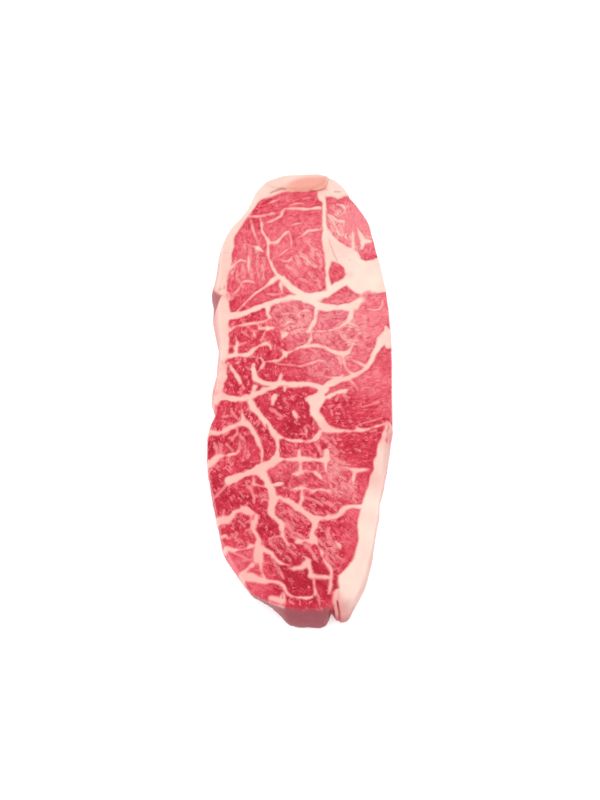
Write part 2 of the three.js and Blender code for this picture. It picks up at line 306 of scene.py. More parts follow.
     (44, 30, 3)],
    [(43.5, 32, 2), (44.5, 27, 4), (44, 22, 3)],
    [(25.2, 15.6, 1), (29.8, 12.8, 1.6), (33.8, 10.9, 2)],
    [(21.2, 16.4, 2), (22, 13.4, 1.6), (22.8, 10.8, 1.3), (24.9, 8.1, 1.8), (26.9, 6.8, 2)],
    [(14.2, 5.4, 1), (17, 5.2, 1.8), (18.8, 4.2, 2.8)],
    [(21.8, 6.8, 1.2), (20.4, 4.9, 2.2)],
    [(24.6, 4.4, 1.6), (26.2, 2.5, 1.4), (28.9, -1.3, .9)],
    [(32, -.6, .9), (34.5, -.8, 1.1)],
    [(44.5, 4.5, 1.1), (45, 2, 1.1)],
    # the third seam across and the one that runs down from it
    [(-39.5, -5, 5), (-35, -6, 3.5), (-30, -6.3, 3.2), (-25, -5.5, 3.5), (-22, -3.5, 3),
     (-19, -2.5, 2.7), (-16, -1, 2.5), (-12, 0, 2.5)],
    [(-7.5, -.5, 2), (-7.5, -2.5, 1.4)],
    [(-23, 0, 2.2), (-23.5, -3, 2.3)],
    [(-25, -7.5, 4), (-23, -12, 3), (-20, -15, 3), (-17.5, -18, 3.2), (-15.5, -20.5, 3.5),
     (-13.5, -24, 3), (-11.5, -27, 3), (-11.3, -30, 2), (-11.3, -33, 2.2), (-11.3, -36, 3),
     (-12, -38, 4)],
    [(-44.5, -24, 3), (-41, -24.5, 2.5), (-38, -23.7, 3), (-35, -22, 2.5), (-32, -20.8, 2),
     (-29, -19.5, 2.5), (-27, -19, 3), (-25, -21, 2.8), (-23, -24, 3), (-21.5, -27, 2.5),
     (-20.5, -30, 2.5), (-18.8, -33, 1.5), (-18.5, -36, 1.3), (-18.7, -39, 1.5), (-19, -43, 1.6)],
    [(-28.3, -19, 2.8), (-28.7, -15, 1.5), (-29, -12, .8)],
    [(-37.5, -23, 2.2), (-37.5, -20.5, 1.3)],
    [(-42, -24, 1.8), (-42, -22, 1.1)],
    [(-38.3, -16, 1.7), (-36, -15.5, 1.2)],
    [(-34.5, -11.5, .7), (-34, -13, .9), (-32, -16, .9), (-30.8, -17.5, .8)],
    [(-34, -21.3, 1.6), (-34, -19.5, .9)],
    [(-31.1, -21.5, 1.2), (-31, -24.8, 1), (-32.4, -26.6, 1.3), (-33.6, -28.4, .8)],
    [(-35.2, -27, .6), (-33.9, -27.4, 1), (-33.4, -28.4, .8)],
    [(-42.9, -29.4, .6), (-41.8, -32.4, .9), (-40.9, -35.5, 1.2)],
    [(-40.4, -29.8, .5), (-39.4, -32.1, .8), (-39.2, -35.5, .9)],
    [(-36.4, -30.2, .9), (-33.6, -33.6, 1)],
    [(-30, -25.8, 1), (-28.8, -27.4, 1.8), (-27.4, -29.4, .9)],
    [(-30.1, -30.2, .6), (-30, -32.4, .9), (-31, -34.6, 1.2)],
    [(-22.4, -19.4, .5), (-21.4, -18.3, .6), (-20.4, -19.4, .6), (-21.2, -20.6, .5)],
    [(-26.9, -12.4, .5), (-25.7, -11.2, .5), (-24.7, -13, .5), (-25.2, -14.9, .5)],
    [(-46, -41, 4), (-43, -40, 4), (-40.5, -37.5, 3.5), (-38, -36.3, 2), (-35, -35.8, 1.5),
     (-32, -35.5, 1.3), (-30.3, -34, .8)],
    # the blunt island of fat and what lies round it
    [(-12.5, -4.7, 2.2), (-13.3, -6.5, 3.3), (-13.7, -8.8, 1.8)],
    [(-12.5, -4.7, 1.2), (-10.5, -4.7, .7)],
    [(-10, -10.6, 1.4), (-9.6, -11, 1.4)],
    [(-15, -11.5, .6), (-13, -12.5, 1), (-11, -14.5, .9), (-9, -16, .7)],
    [(-3.3, -13, 2), (-1.8, -15.5, 2.1), (-1.5, -18, 1.3)],
    [(-1.8, -15.5, 1.2), (-.3, -16, 1)],
    [(-11, -26.5, 3), (-8, -27.5, 1.5), (-4, -28.3, 1), (0, -28.5, 1.2), (4, -29, 1.5), (7, -28, 2),
     (9, -25.5, 2.5), (10.5, -23.5, 3)],
    [(-2.3, -29, 1.2), (-2, -31.5, .8)],
    [(2.7, -20.5, .7), (3.2, -23, 1.4), (3, -26, 1.1)],
    [(7, -17.5, .8), (6.5, -20, .9)],
    # the broad white seam and its thin run to the right rim
    [(12, -2, 6), (10.5, -5, 6), (8, -8, 8), (7, -11, 5), (7.5, -14, 5), (9.5, -17, 4.5), (11, -20, 5),
     (12.5, -22, 5), (16, -22.8, 3.5), (20, -23.7, 2), (25, -23.8, 1.3), (29, -23, 2.3), (33, -23, 1.2),
     (37, -21.5, 1.2), (41, -20, 1), (43.5, -18.5, 1.5)],
    [(28.7, -22.5, 1.8), (28, -21, .9)],
    [(35, -24, .9), (38, -23, .8)],
    [(5, -5.5, 2), (3.3, -6.5, 1.6), (3, -7.5, 1.2)],
    [(14, -5, 3), (19, -3, 2.2), (22.5, -2, 2.2), (26, -.3, .8)],
    [(19.5, -4, 1.6), (18, -7, 1.1)],
    [(22, -4, 1.3), (23.5, -8, .9)],
    [(15.5, -12.5, 1.3), (16, -15, .9)],
    [(18.6, -16.2, .8), (19.3, -16.8, .8)],
    [(24.6, -18.2, 1.2), (25.4, -18.8, 1.2)],
    [(38, -9, 1.1), (39, -7.5, 1.1)],
    [(31, -11, .3), (36, -9.5, .35), (40, -8, .3)],
    [(30, -20, .3), (36, -17.8, .35), (41, -16.3, .3)],
    [(16, -27, 1.5), (17.5, -30, 1.7)],
    [(11, -27, .8), (14, -29, .8)],
    [(12, -26, .7), (15, -27.5, .7)],
    [(13.4, -34.2, 3), (13.3, -38, 3.5), (13.1, -40, 2), (13, -42, 1.7), (13.1, -44, 1.2)],
    [(7.5, -30, 1), (9.5, -32.6, 1.1), (10.6, -36, 1)],
    [(6.5, -35.5, 1), (7.5, -37, 1.2)],
    [(-.3, -33.5, 1.8), (-.3, -37, 2.3)],
    [(16, -31.5, .7), (19, -34.7, .7)],
    [(15.3, -36.4, .7), (18, -38, .7), (20, -39.6, .8)],
    [(20, -33.5, .7), (22, -35, .7)],
    [(29.2, -33.8, 1.1), (29.8, -34.2, 1.1)],
    # the great lower seam and its branches
    [(-35.5, -49.5, 4.2), (-32, -48, 4.2), (-28, -46.4, 3.3), (-24, -45, 3.6), (-20, -44.2, 6),
     (-17, -42, 5), (-14, -40, 4), (-12, -38.3, 4), (-7, -38, 2), (-3, -38, 2), (0, -38, 3.5),
     (5, -38.3, 2), (9, -38.8, 1.5), (13, -38.5, 4)],
    [(-17.6, -46.6, 4.3), (-15.8, -50.3, 3.8), (-14.5, -53.4, 3.8), (-13.3, -56.4, 4),
     (-12.9, -59, 4.8), (-13.7, -61.5, 4.3), (-14.4, -64.2, 3.6), (-14, -67, 3.1), (-11.2, -69.5, 2.7),
     (-9, -72, 2.5), (-8.7, -75, 2.5), (-8.5, -78, 2.3), (-7, -80.5, 1.2), (-5.5, -82, 1),
     (-4.5, -83, .8), (-3, -84.5, .7)],
    [(-13, -58.5, 2.6), (-10, -58.3, 2.5), (-6, -60, 3), (-3, -62, 3.5), (0, -64, 3.5), (3, -66.5, 3.5),
     (6, -68.5, 3), (8, -69, 4), (12, -68.8, 2.5), (16, -68.3, 3), (19, -67, 3), (20.5, -64.5, 3.5),
     (22, -63, 2.8), (26, -62.5, 2.2), (30, -63, 2.5)],
    [(8, -70, 3.5), (7.5, -72.5, 3), (6, -75.5, 2), (5.7, -78, 2.8), (5.7, -80.5, 4)],
    [(21, -42.5, 1), (24, -43.2, 1.8), (27.2, -44.2, 3.2), (30, -43.8, 1.9), (33, -43.6, 1.3),
     (35.5, -43.6, 1)],
    [(27, -45, 2.8), (26.6, -47, 2), (26.3, -50, 1.6), (26, -53, 1)],
    [(26, -59, .9), (26.5, -57, .9)],
    [(-3, -45.5, 1.6), (-1, -45.5, 3), (1, -45, 2)],
    [(.5, -44.5, 2), (.5, -42.5, 1.8), (.5, -39, 1.5)],
    [(1, -44, 1.4), (4, -44, 1.2), (7, -45, 2), (9, -46.5, 2.5), (10.5, -48, 2.3), (11.5, -48.7, 1)],
    [(9, -41.5, 1), (9, -44, 1.1)],
    [(-14, -52, 2.5), (-11, -51.3, 2), (-8.5, -51, 1.8)],
    [(-8, -53, .9), (-5, -54, 1.3), (-2, -53.7, 1.5), (1, -53.5, 2), (4, -54, 1.3), (6.5, -55, 2),
     (9, -54, 1.5), (12, -54, 2.2), (14, -54.5, 2), (15.5, -55.5, .9)],
    [(1.9, -52.3, 1.2), (2.1, -51.7, 1)],
    [(1, -54, 1.8), (1, -59, 2), (0, -61.5, 2.5)],
    [(3, -58, 1.1), (6, -59, .8), (9, -60.5, .7), (11, -62, .6)],
    [(5, -62, .9), (7, -64, .9)],
    [(13, -65, .9), (14.5, -66.5, 1)],
    [(11.2, -58.3, 1.7), (11.8, -58.7, 1.7)],
    [(18, -60.5, 1.1), (20, -61, .9)],
    # the lower left
    [(-36.5, -51.5, 1.1), (-39, -55, 1), (-41.8, -58, 1)],
    [(-22.7, -46.5, 1), (-22.7, -51.5, 1.9), (-20, -52, 1.4), (-17, -52.5, 1.4)],
    [(-25, -53, 1.8), (-24, -55, 1.2), (-22.5, -58, 1.1), (-22.7, -61, 1.3)],
    [(-26.5, -50, .7), (-26, -53, 1)],
    [(-29.5, -55, .6), (-28, -58, .6)],
    [(-14, -61, 1.4), (-17, -58.8, 1), (-18.5, -59.5, 1.1), (-19, -61, .9)],
    [(-40.5, -69.5, 4.5), (-36, -70, 4.5), (-33.5, -68, 3), (-32.5, -66, 2.5), (-30, -65, 2.5),
     (-27, -64.3, 4), (-24, -65.8, 3), (-22, -68, 4), (-22, -71, 3.5), (-23, -74, 2.2), (-22, -76, 2),
     (-20.7, -78, 2), (-20, -80, 2.5), (-20.5, -83, 4), (-20.5, -86, 5.5), (-20.5, -90, 5),
     (-19, -93, 2), (-18.8, -96, 1.7), (-17.5, -99, 2.2)],
    [(-29.5, -61.7, .9), (-28, -64, 3.2)],
    [(-37.5, -64.5, .9), (-38, -68, 1)],
    [(-25, -70, .8), (-26.5, -71, .7)],
    [(-30, -70, .7), (-27, -73, .8)],
    [(-26.5, -75, 1), (-23.5, -74.3, 1.3)],
    [(-25, -76, .7), (-23, -78.5, .7)],
    [(-31.4, -76.3, 1.1), (-30.7, -76.7, 1.1)],
    [(-39.5, -79, 2.3), (-36.5, -77.5, 1.5), (-35.5, -79, .9)],
    [(-37.5, -84.3, 3), (-35, -84.5, 3), (-32, -85, 2.5), (-30, -84.8, 1.3), (-26, -84.3, 1),
     (-24, -83, 2), (-21, -83, 2.6)],
    [(-32, -86.5, .7), (-29, -88, .8), (-26, -89.5, .7)],
    [(-28, -91, .6), (-24, -90, .6)],
    # the tail
    [(-23, -92.5, 2), (-25, -94, 1.6), (-27, -96, 2.5), (-29.5, -98, 3.5)],
    [(-26, -98.5, 5), (-20, -99.7, 4), (-17, -100.5, 3.5), (-13, -100.7, 1.8), (-10, -101.5, 1.8),
     (-8, -103, 1.8), (-7, -105, 1.7), (-6, -107, 1.5), (-4, -108.5, 1.3), (-1, -109.2, 1.3),
     (3, -109, 1.5), (6, -108.3, 1.5), (7.5, -106.5, 1.5), (7.2, -104, 1.4), (6.8, -101, 1),
     (7, -98.8, 1.2)],
    [(-18.5, -84, 3), (-14, -87, 2.2), (-11.5, -90, 2), (-9, -92, 1), (-5, -92.7, .7)],
    [(-6, -94, .9), (-3, -94.3, 2), (1, -94, 2.5), (3, -92, 3.5), (4, -90, 2.3), (3, -88.5, 1.2),
     (1.5, -88, .8)],
    [(3.5, -91, 2.6), (5, -95, 2), (5, -98, 2.5), (8, -98.8, 2), (12, -98.8, 2.2), (15, -99, 1.7),
     (15.3, -95.5, 1.5), (14.5, -93.5, 1.7), (12.5, -91, 1.8), (11, -88.5, 1.5), (10.5, -86, 1),
     (9.5, -84, 1), (8.5, -82, 1.5), (7.5, -80.5, 2.5), (6.5, -79, 3)],
    [(-10.5, -94, .7), (-9, -97, .7), (-8, -99, .6)],
    [(-14, -109.5, 2.5), (-11, -110, 3.5), (-9, -110.5, 4), (-8, -107, 2)],
    [(15, -98.5, 1.7), (15, -102, 1.5), (14.5, -105, 1), (14, -106.5, .9)],
    [(-1, -81, 2), (1, -80.8, 2.2), (4, -80.7, 3.5), (7, -80, 3.5)],
    [(3, -83, .9), (5, -84.5, 1.3), (6.5, -87, 1.3), (7.5, -89.5, .9), (9, -91, .5)],
    [(-14, -79, 1.4), (-12, -78.3, 1), (-9, -78.2, 1.5)],
    [(-9.5, -70, 1.2), (-6, -73, .9), (-4, -75.5, .9), (0, -77.5, .9), (3, -79.5, 1)],
    [(-6.5, -71.5, .8), (-3, -74, .7)],
    [(-7, -75.5, 1.4), (-5, -77, 1.1), (-2, -78.8, 1.1), (0, -80.3, 2)],
    [(13.5, -73.5, .8), (14, -77, 1), (14.7, -79, 1.2)],
    [(17.3, -80.3, 1.1), (19, -82.3, 1.5), (19.8, -84, 1)],
    [(16, -84, .8), (16.6, -85.6, .7)],
    [(8.5, -108, .9), (9.5, -112, .9)],
]

# Outer fat: the inner edge of each region, which is then closed outside the rim.
CAP_EDGE = [
    (-OUTSIDE, -10.8), (-42.3, -10.8), (-41.3, -10.6), (-40.7, -9), (-40, -7.5), (-39, -2), (-38, 2),
    (-37, 6), (-37, 10), (-36.8, 14), (-36, 20), (-35.8, 28), (-35.8, 35), (-35.5, 40), (-36.5, 45),
    (-37, 50), (-37, 57), (-36, 62), (-35, 68), (-34.5, 74), (-34, 79), (-33, 82.5), (-30.5, 87),
    (-28.5, 91), (-26, 95), (-23, 100), (-20, 102.5), (-16, 104.5), (-13, 105.8), (-9, 107.3),
    (-6, 107.9), (0, 107.7), (4, 107.8), (8, 108.4), (11, 106.5), (14, 104.3), (16, 104.4),
    (17.8, 103.7), (19.4, 103.1), (21, 103.6), (23, 104.5), (25, 104.8), (OUTSIDE, 104.8),
    (OUTSIDE, 130), (-OUTSIDE, 130),
]
PATCH_EDGE = [
    (13, 88), (15.5, 86), (17, 83), (20, 79.5), (24, 77), (27, 76), (30, 73), (31.5, 70), (34, 68.8),
    (36, 69.2), (39.5, 70), (OUTSIDE, 71), (OUTSIDE, 51), (43, 51), (34, 51), (31, 49.5), (26, 52.5),
    (23.5, 54.8), (21, 54), (18.5, 51.5), (14, 50), (13, 56), (13, 70),
]
WEDGE_EDGE = [
    (OUTSIDE, -17), (43, -18), (41.5, -22.5), (40.5, -25), (39.7, -28), (38.5, -32), (37.5, -36),
    (36.5, -40), (35.3, -45), (34, -50), (32.3, -55), (30.5, -60), (29.7, -63), (29, -66), (28.2, -69),
    (28, -73), (28.3, -76), (28.3, -79), (27.5, -84), (26.5, -88), (25, -91), (22.5, -94), (20, -96.5),
    (18.5, -98), (18.3, -101), (19, -104), (16, -106), (15.6, -112), (15.6, -130), (OUTSIDE, -130),
]

# Lean that shows within the fat, as closed outlines and as runs.
LEAN_ISLANDS = [
    [(16, 68.8), (18, 68.6), (20.6, 66.8), (22.4, 64.6), (23.6, 61), (22.4, 59.3), (20.5, 58.2),
     (18, 56.8), (16, 55.2), (15.2, 57), (14.8, 61), (15.1, 65)],
    [(-20.8, -92.3), (-24, -95.5), (-20, -98), (-18.8, -96.7)],
]
LEAN_SLIVERS = [
    [(28.7, 87, .5), (28.9, 83, .8), (29.6, 79, .9)],
    [(-16.5, -20.2, .8), (-16.9, -22.6, .9)],
    [(13, -4.3, .8), (16, -2, 1.2), (20, -.5, 2), (23, -.5, 1.5), (26, -1, 1)],
    [(-22.9, -67.6, .8), (-22.9, -69.4, .8)],
    [(2.3, -81.6, .9), (5, -82.6, .9)],
]

# Veils of marbling too fine to tell apart, that pale the muscle along a run: how much, and the run.
VEILS = [
    (.4, [(2.2, 41, .8), (1.8, 38.5, .8), (2.3, 36.5, .8)]),
    (.35, [(3.6, 40.5, .7), (3.8, 36, .7)]),
    (.35, [(5.2, 39, .7), (4.8, 34.5, .8)]),
    (.35, [(-13.8, 39.5, .8), (-12.5, 41.3, .8), (-9.5, 41.2, .8)]),
    (.35, [(-6.5, 38, .8), (-7.5, 35.5, .9)]),
    (.4, [(-11, 43.5, .9), (-9, 41, .9), (-8.5, 39.5, .8)]),
    (.3, [(-2, 45.5, .9), (-2, 42.5, .9), (-3, 40, .8)]),
    (.4, [(-1.6, 38, 1.4), (.4, 39, 1.4)]),
    (.5, [(-9, 33, .8), (-6, 34.8, .9), (-4.4, 37, .8)]),
    (.5, [(-8, 30.7, .9), (-3.5, 33, 1), (3, 34.4, .9)]),
    (.6, [(-4, 29.5, 1), (0, 30, 1.3), (3, 30.5, 1.3)]),
    (.35, [(-15.3, 23.5, .8), (-8.5, 19, .8)]),
    (.4, [(1, 33, .8), (3.5, 35, .9), (4, 37, .8)]),
    (.3, [(-13, 37, 1.4), (-9, 36, 1.2)]),
    (.6, [(20, 30.5, 1), (22, 28, .9), (24, 24.5, 1), (25.4, 21.5, 1)]),
    (.6, [(25.6, 24.6, 1.4), (26.6, 24.2, 1.4)]),
    (.45, [(27, 33.5, 1.2), (29, 31.5, 1), (30, 29.5, .8)]),
    (.5, [(26.5, 36, 1.4), (25, 32, 1.4)]),
    (.5, [(18, 31.5, 1.4), (20.5, 33, 1.8), (25, 35.5, 2)]),
    (.35, [(28, 25, .9), (32, 22, .9), (35, 20, .8)]),
    (.35, [(25.5, 21.5, 1), (26, 18, 1), (25.5, 15.5, .9)]),
    (.7, [(21, 17.6, 1.4), (24, 16.4, 1.4)]),
    (.55, [(20.6, 15.6, 3), (21.8, 12.8, 2.4)]),
    (.35, [(13, 13.5, .8), (14.5, 12, .8)]),
    (.3, [(11, 26, 1.6), (16, 24, 1.4)]),
    (.3, [(8, 28, 1), (12, 27.6, 1), (15, 29, .9)]),
    (.25, [(33, 38, 1.2), (33, 27, 1)]),
    (.5, [(-.4, 72.7, .9), (2.9, 70.4, .9), (5, 68, .9), (8, 66, .8)]),
    (.4, [(3, 70.4, .8), (4, 67, .7)]),
    (.6, [(-33.4, 68, 1.4), (-34, 65, 1.6), (-35, 62, 1.4)]),
    (.35, [(5, 80, 1), (6.5, 75, 1), (6, 70, .9)]),
    (.4, [(15, 91.5, 1.2), (16, 88, 1.3), (18, 84, 1.3), (19.7, 81.4, 1)]),
    (.35, [(19.5, 89.5, 1), (21, 88, 1.2), (21.6, 84, 1)]),
    (.6, [(20.8, 83.8, 1.4), (25.8, 81.5, 1.6), (27, 83.2, 1.4)]),
    (.5, [(23.5, 98.8, 1.1), (22.7, 96.5, 1.2), (19, 95, 1)]),
    (.4, [(27, 78, 1.5), (30, 75, 1.4)]),
    (.35, [(33.5, 82.4, 1), (36, 81.6, 1)]),
    (.3, [(17, 99, 2), (21, 95, 1.6)]),
    (.5, [(-37.7, -21.5, 1), (-37.7, -23.8, .8)]),
    (.22, [(-29.9, -25.4, 1), (-29.3, -29.9, 1), (-27.7, -32.7, 1)]),
    (.35, [(-34.9, -36.5, 1), (-36, -38.2, 1), (-33.8, -40.4, 1)]),
    (.4, [(-21.6, -57, .9), (-17, -57, .9)]),
    (.35, [(-27.8, -32, 1.8), (-26.4, -37, 1.6)]),
    (.4, [(-42, -41.5, 1.2), (-40, -43.5, 1)]),
    (.5, [(11, -27.1, .8), (14.3, -29.9, .9), (15.4, -32.7, .9), (18.2, -36, .8)]),
    (.5, [(14.9, -36, 1), (20.4, -39.9, 1), (23.8, -41, .9)]),
    (.4, [(15.4, -39.3, 1.4), (19.3, -42.7, 1.6), (27, -43.8, 1.4)]),
    (.3, [(12, -42.7, 1.4), (14.9, -44.9, 1.4), (15.4, -48.8, 1.3)]),
    (.25, [(14.9, -42.7, 2), (19.3, -47.1, 2), (22.7, -50.4, 1.8), (23.8, -54.9, 1.5)]),
    (.45, [(24.8, -49.5, 1), (25, -55, 1)]),
    (.35, [(20, -49, .9), (20.5, -53, .8)]),
    (.35, [(15.2, -50, 1), (15.3, -52, 1)]),
    (.35, [(22, -48.5, .7), (22, -50.5, .7)]),
    (.5, [(14, -54.3, 1.4), (18.2, -56, 1.5), (19.3, -57, 1.3)]),
    (.35, [(23.8, -50.4, 1.2), (27, -51.6, 1.2), (27, -58, 1.1)]),
    (.3, [(20.4, -54.3, 1), (24.9, -58.2, 1), (27, -60.4, .9)]),
    (.2, [(15, -46, 1.8), (16.5, -50, 2), (17, -54, 1.8)]),
    (.45, [(9, -72.3, .8), (12, -74.5, 1), (13.5, -77.5, .9)]),
    (.42, [(12, -78.5, 1), (15.5, -80.5, 1.2), (18, -84.5, 1)]),
    (.4, [(9.5, -79.5, .8), (13, -84.5, 1), (17, -89.5, .9)]),
    (.35, [(11, -84.5, .8), (14.5, -90.5, .9), (17, -94, .8)]),
    (.4, [(15.5, -85.5, 1), (18, -88, 1), (21, -90, .8)]),
    (.4, [(13.5, -80.5, .9), (16.5, -86, 1.1)]),
    (.4, [(0, -62.5, .9), (5, -65, 1), (9, -66.5, .8)]),
    (.4, [(9, -59, .8), (14, -60.5, 1), (17.5, -63.5, .8), (18.2, -66, .7)]),
    (.35, [(-10.5, -62.5, .7), (-6, -66, .8), (-1, -69.5, .7)]),
    (.35, [(-6, -64, .7), (-1, -67.5, .8), (4, -71, .7)]),
    (.35, [(-11, -66, .7), (-7, -70, .8), (-1, -72.5, .7)]),
    (.35, [(-15, -81, .7), (-10, -85.5, .8), (-5, -90, .7)]),
    (.35, [(-12, -80, .7), (-6, -84, .8), (-2, -88, .7)]),
    (.3, [(-13, -90, .7), (-11, -94.5, .8), (-9, -98, .7)]),
    (.35, [(-33, -77.5, .8), (-29, -80.5, .9), (-25.5, -81.5, .8)]),
    (.35, [(-33, -66.8, .8), (-30, -70, .8)]),
    (.42, [(-25.3, 75, .6), (-25.8, 68, .7), (-24.8, 59, .6)]),
    (.38, [(-18.7, 70, .6), (-18.9, 64, .7), (-18.5, 58, .6)]),
    (.34, [(-21.5, 74, .6), (-22, 66, .7), (-21, 60, .6)]),
    (.38, [(-29, 66, .7), (-29.3, 60, .8)]),
    (.4, [(-32.5, 63, .7), (-32, 58, .8), (-29, 54.5, .7)]),
    (.35, [(-28, 80, .8), (-28.6, 74, .8)]),
    (.35, [(1, 75, .8), (-1.5, 71, .8), (0, 66, .7)]),
    (.3, [(8.5, 75, .7), (10.5, 70, .8), (10, 64, .7)]),
    (.32, [(-7, 66, .7), (-3.5, 63.5, .8), (0, 59, .8), (4, 57, .7)]),
    (.3, [(5, 62, .7), (8.5, 58, .8), (10, 54, .7)]),
]

# Narrow slits and creases, painted red or brown, partly as their own red and partly as painted shade in the
# crease: how strongly, and the run.
SLITS = [
    (.45, [(-15.6, 106.9, .5), (-14.2, 107.9, 1), (-12, 108.7, 1), (-9.5, 109.1, .9),
           (-7.5, 108.9, .5)]),
    (.25, [(-6.5, 108, .4), (-4.5, 107.8, .4)]),
    (.5, [(5.5, 108.1, .4), (8, 108.4, .8), (10.5, 108.8, .9), (12.8, 109.3, .8)]),
    (.3, [(12.8, 109.3, .8), (13.6, 110.6, .7), (14.4, 112.6, .7), (14.9, 115, .6)]),
    (.45, [(18, 107.7, .6), (21.5, 107.5, .8)]),
    (.25, [(-39.4, 73.1, .6), (-37, 73.2, .5)]),
    (.45, [(-37.1, 60.2, .4), (-37.5, 57.6, .7), (-38.3, 55.2, .8), (-38.8, 53.4, .5)]),
    (.35, [(14.6, 81, .3), (16, 76.4, .5), (17.5, 72.4, .6), (19.6, 67.8, .5)]),
    (.25, [(24.8, 69.2, .4), (26.4, 68.7, .5)]),
    (.12, [(27.6, 69.4, .4), (28.6, 67.4, .5), (30.4, 66.1, .5), (32, 65.9, .3)]),
    (.6, [(-36.7, 11.5, .8), (-36.8, 7, .7)]),
    (.7, [(6.4, -107.5, .6), (6.8, -109.5, 1.1), (7.3, -111.6, .8)]),
    (.5, [(-8.4, -107, .6), (-8.4, -109, .7)]),
    (.2, [(18.5, -98, .5), (18.9, -104, .7), (18.8, -110, .6)]),
    (1, [(18.2, -110.5, .7), (18.6, -112.5, 1.0), (18.1, -114.5, 1.3), (18.3, -116.5, 1.8)]),
]

# Where the edge of the fat is no edge, and fat and lean run softly into each other: x, y and reach.
FADES = [(33.5, 48.5, 3.2), (-36, 49.5, 2.2)]


def run_depth(at, run):
    """How far each point is inside a run of given widths; minus outside it."""
    inside = np.full(len(at), -np.inf)
    run = np.array(run, dtype=float)
    for start, end in zip(run[:-1], run[1:]):
        way = end[:2] - start[:2]
        t = np.clip(((at - start[:2]) @ way) / (way @ way), 0, 1)
        away = np.linalg.norm(at - start[:2] - t[:, None] * way, axis=1)
        width = start[2] + (end[2] - start[2]) * t
        inside = np.maximum(inside, 0.5 * width - away)
    return inside


def region_depth(at, edge):
    """How far each point is inside a closed outline; minus outside it."""
    edge = np.array(edge, dtype=float)
    nearest = np.full(len(at), np.inf)
    within = np.zeros(len(at), dtype=bool)
    for start, end in zip(edge, np.roll(edge, -1, axis=0)):
        way = end - start
        t = np.clip(((at - start) @ way) / (way @ way), 0, 1)
        nearest = np.minimum(nearest, np.linalg.norm(at - start - t[:, None] * way, axis=1))
        if start[1] != end[1]:
            crossed = (start[1] > at[:, 1]) != (end[1] > at[:, 1])
            where = start[0] + (at[:, 1] - start[1]) * way[0] / way[1]
            within ^= crossed & (at[:, 0] < where)
    return np.where(within, nearest, -nearest)


CELL_PRIMES = np.array([73856093, 19349663, 83492791])
SEED_STEP = 40503
STIR = 1274126177


def lattice_noise(at, size, seed):
    """Smooth noise from -1 to 1 in lumps of a size, the same each time for a seed."""
    cell = at / size
    base = np.floor(cell).astype(np.int64)
    part = cell - base
    part = part * part * (3 - 2 * part)
    total = np.zeros(len(at))
    for corner in itertools.product((0, 1), repeat=3):
        key = (base + corner) @ CELL_PRIMES + seed * SEED_STEP
        key = ((key ^ (key >> 13)) * STIR) & 0x7FFFFFFF
        value = ((key ^ (key >> 16)) & 0xFFFF) / 0x7FFF - 1
        total += value * np.prod(np.where(corner, part, 1 - part), axis=1)
    return total


# Down the side the pattern is the one just inside the rim, and it drifts along the rim with depth,
# so that the seams slant through the slice and come out elsewhere on the lower face.
WALL_INSET = 1.0
SLANT = 0.35                # the most that it drifts along the rim, for each millimetre down
SLANT_SIZE = 40.0           # of a stretch of the rim that drifts one way
WANDER = 0.45               # what a seam swings to each side of its run
WANDER_SIZE = 4.5
depth_below = np.clip(THICKNESS - z, 0, None)
station = np.tile(np.arange(ROUND), len(rings))
under = (np.repeat(np.arange(len(rings)), ROUND) >= len(rings) - UNDER_RINGS)
inset = -WALL_INSET * np.maximum(side, under)
wall = np.stack([rim_x, rim_y], axis=1)[station] + outward[station] * inset[:, None]
flat = np.stack([x, y], axis=1)
pattern = flat + (wall - flat) * np.clip(side, 0, 1)[:, None]
slant = lattice_noise(np.stack([x, y, np.zeros_like(z)], axis=1), SLANT_SIZE, seed=5)
slant = slant * (1 - np.max([left_fat, right_fat, lip_fat], axis=0))[station]
pattern += along[station] * (SLANT * depth_below * slant * share)[:, None]
pattern -= middle + np.array([0, PATTERN_SHIFT])
ripple = np.stack([pattern[:, 0], pattern[:, 1], z], axis=1)
pattern += WANDER * np.stack([lattice_noise(ripple, WANDER_SIZE, seed) for seed in (1, 2)], axis=1)

JOIN_SOFTNESS = 0.3         # where seams meet, the fat fills the corner by about this much
FAR_FROM_FAT = 1e-12        # keeps the logarithm finite where no fat is near
PLAIN_WIDTH = 3.0           # the seam's width that is carried there
TAPERED_BELOW = 1.8         # a seam's end that is narrower than this tapers to half its width
THIN_BELOW = 1.7            # a seam that is narrower than this all along is thin
THIN_GAIN = 0.35            # and is drawn this much wider, to show
OUTER_WIDTH = 6.0           # the outer fat counts as a seam of this width
DEEPEST = 6.0               # depths in fat and in slits are kept within this
FADE_STRENGTH = 4.0
VEIL_SOFTNESS = 0.55
SHALLOW_BELOW = 0.6         # a slit of a fainter shade is shallow
SHALLOW_HEIGHTS = (13, 19)  # and fades out down the side between these heights
gathered = np.full(len(points), FAR_FROM_FAT)
widths = gathered * PLAIN_WIDTH
for run in SEAMS:
    run = np.array(run, dtype=float)
    run[[0, -1], 2] *= np.where(run[[0, -1], 2] < TAPERED_BELOW, 0.5, 1)
    run[:, 2] += THIN_GAIN * (run[:, 2].max() < THIN_BELOW)
    nearness = np.exp(run_depth(pattern, run) / JOIN_SOFTNESS)
    gathered += nearness
    widths += nearness * run[:, 2].max()
for edge in (CAP_EDGE, PATCH_EDGE, WEDGE_EDGE):
    nearness = np.exp(region_depth(pattern, edge) / JOIN_SOFTNESS)
    gathered += nearness
    widths += nearness * OUTER_WIDTH
fat_depth = JOIN_SOFTNESS * np.log(gathered)
seam_width = widths / gathered
for edge in LEAN_ISLANDS:
    fat_depth = np.minimum(fat_depth, -region_depth(pattern, edge))
for run in LEAN_SLIVERS:
    fat_depth = np.minimum(fat_depth, -run_depth(pattern, run))
for fade_x, fade_y, reach in FADES:
    fade = np.exp(-((pattern[:, 0] - fade_x) ** 2 + (pattern[:, 1] - fade_y) ** 2) / reach**2)
    fat_depth /= 1 + FADE_STRENGTH * fade
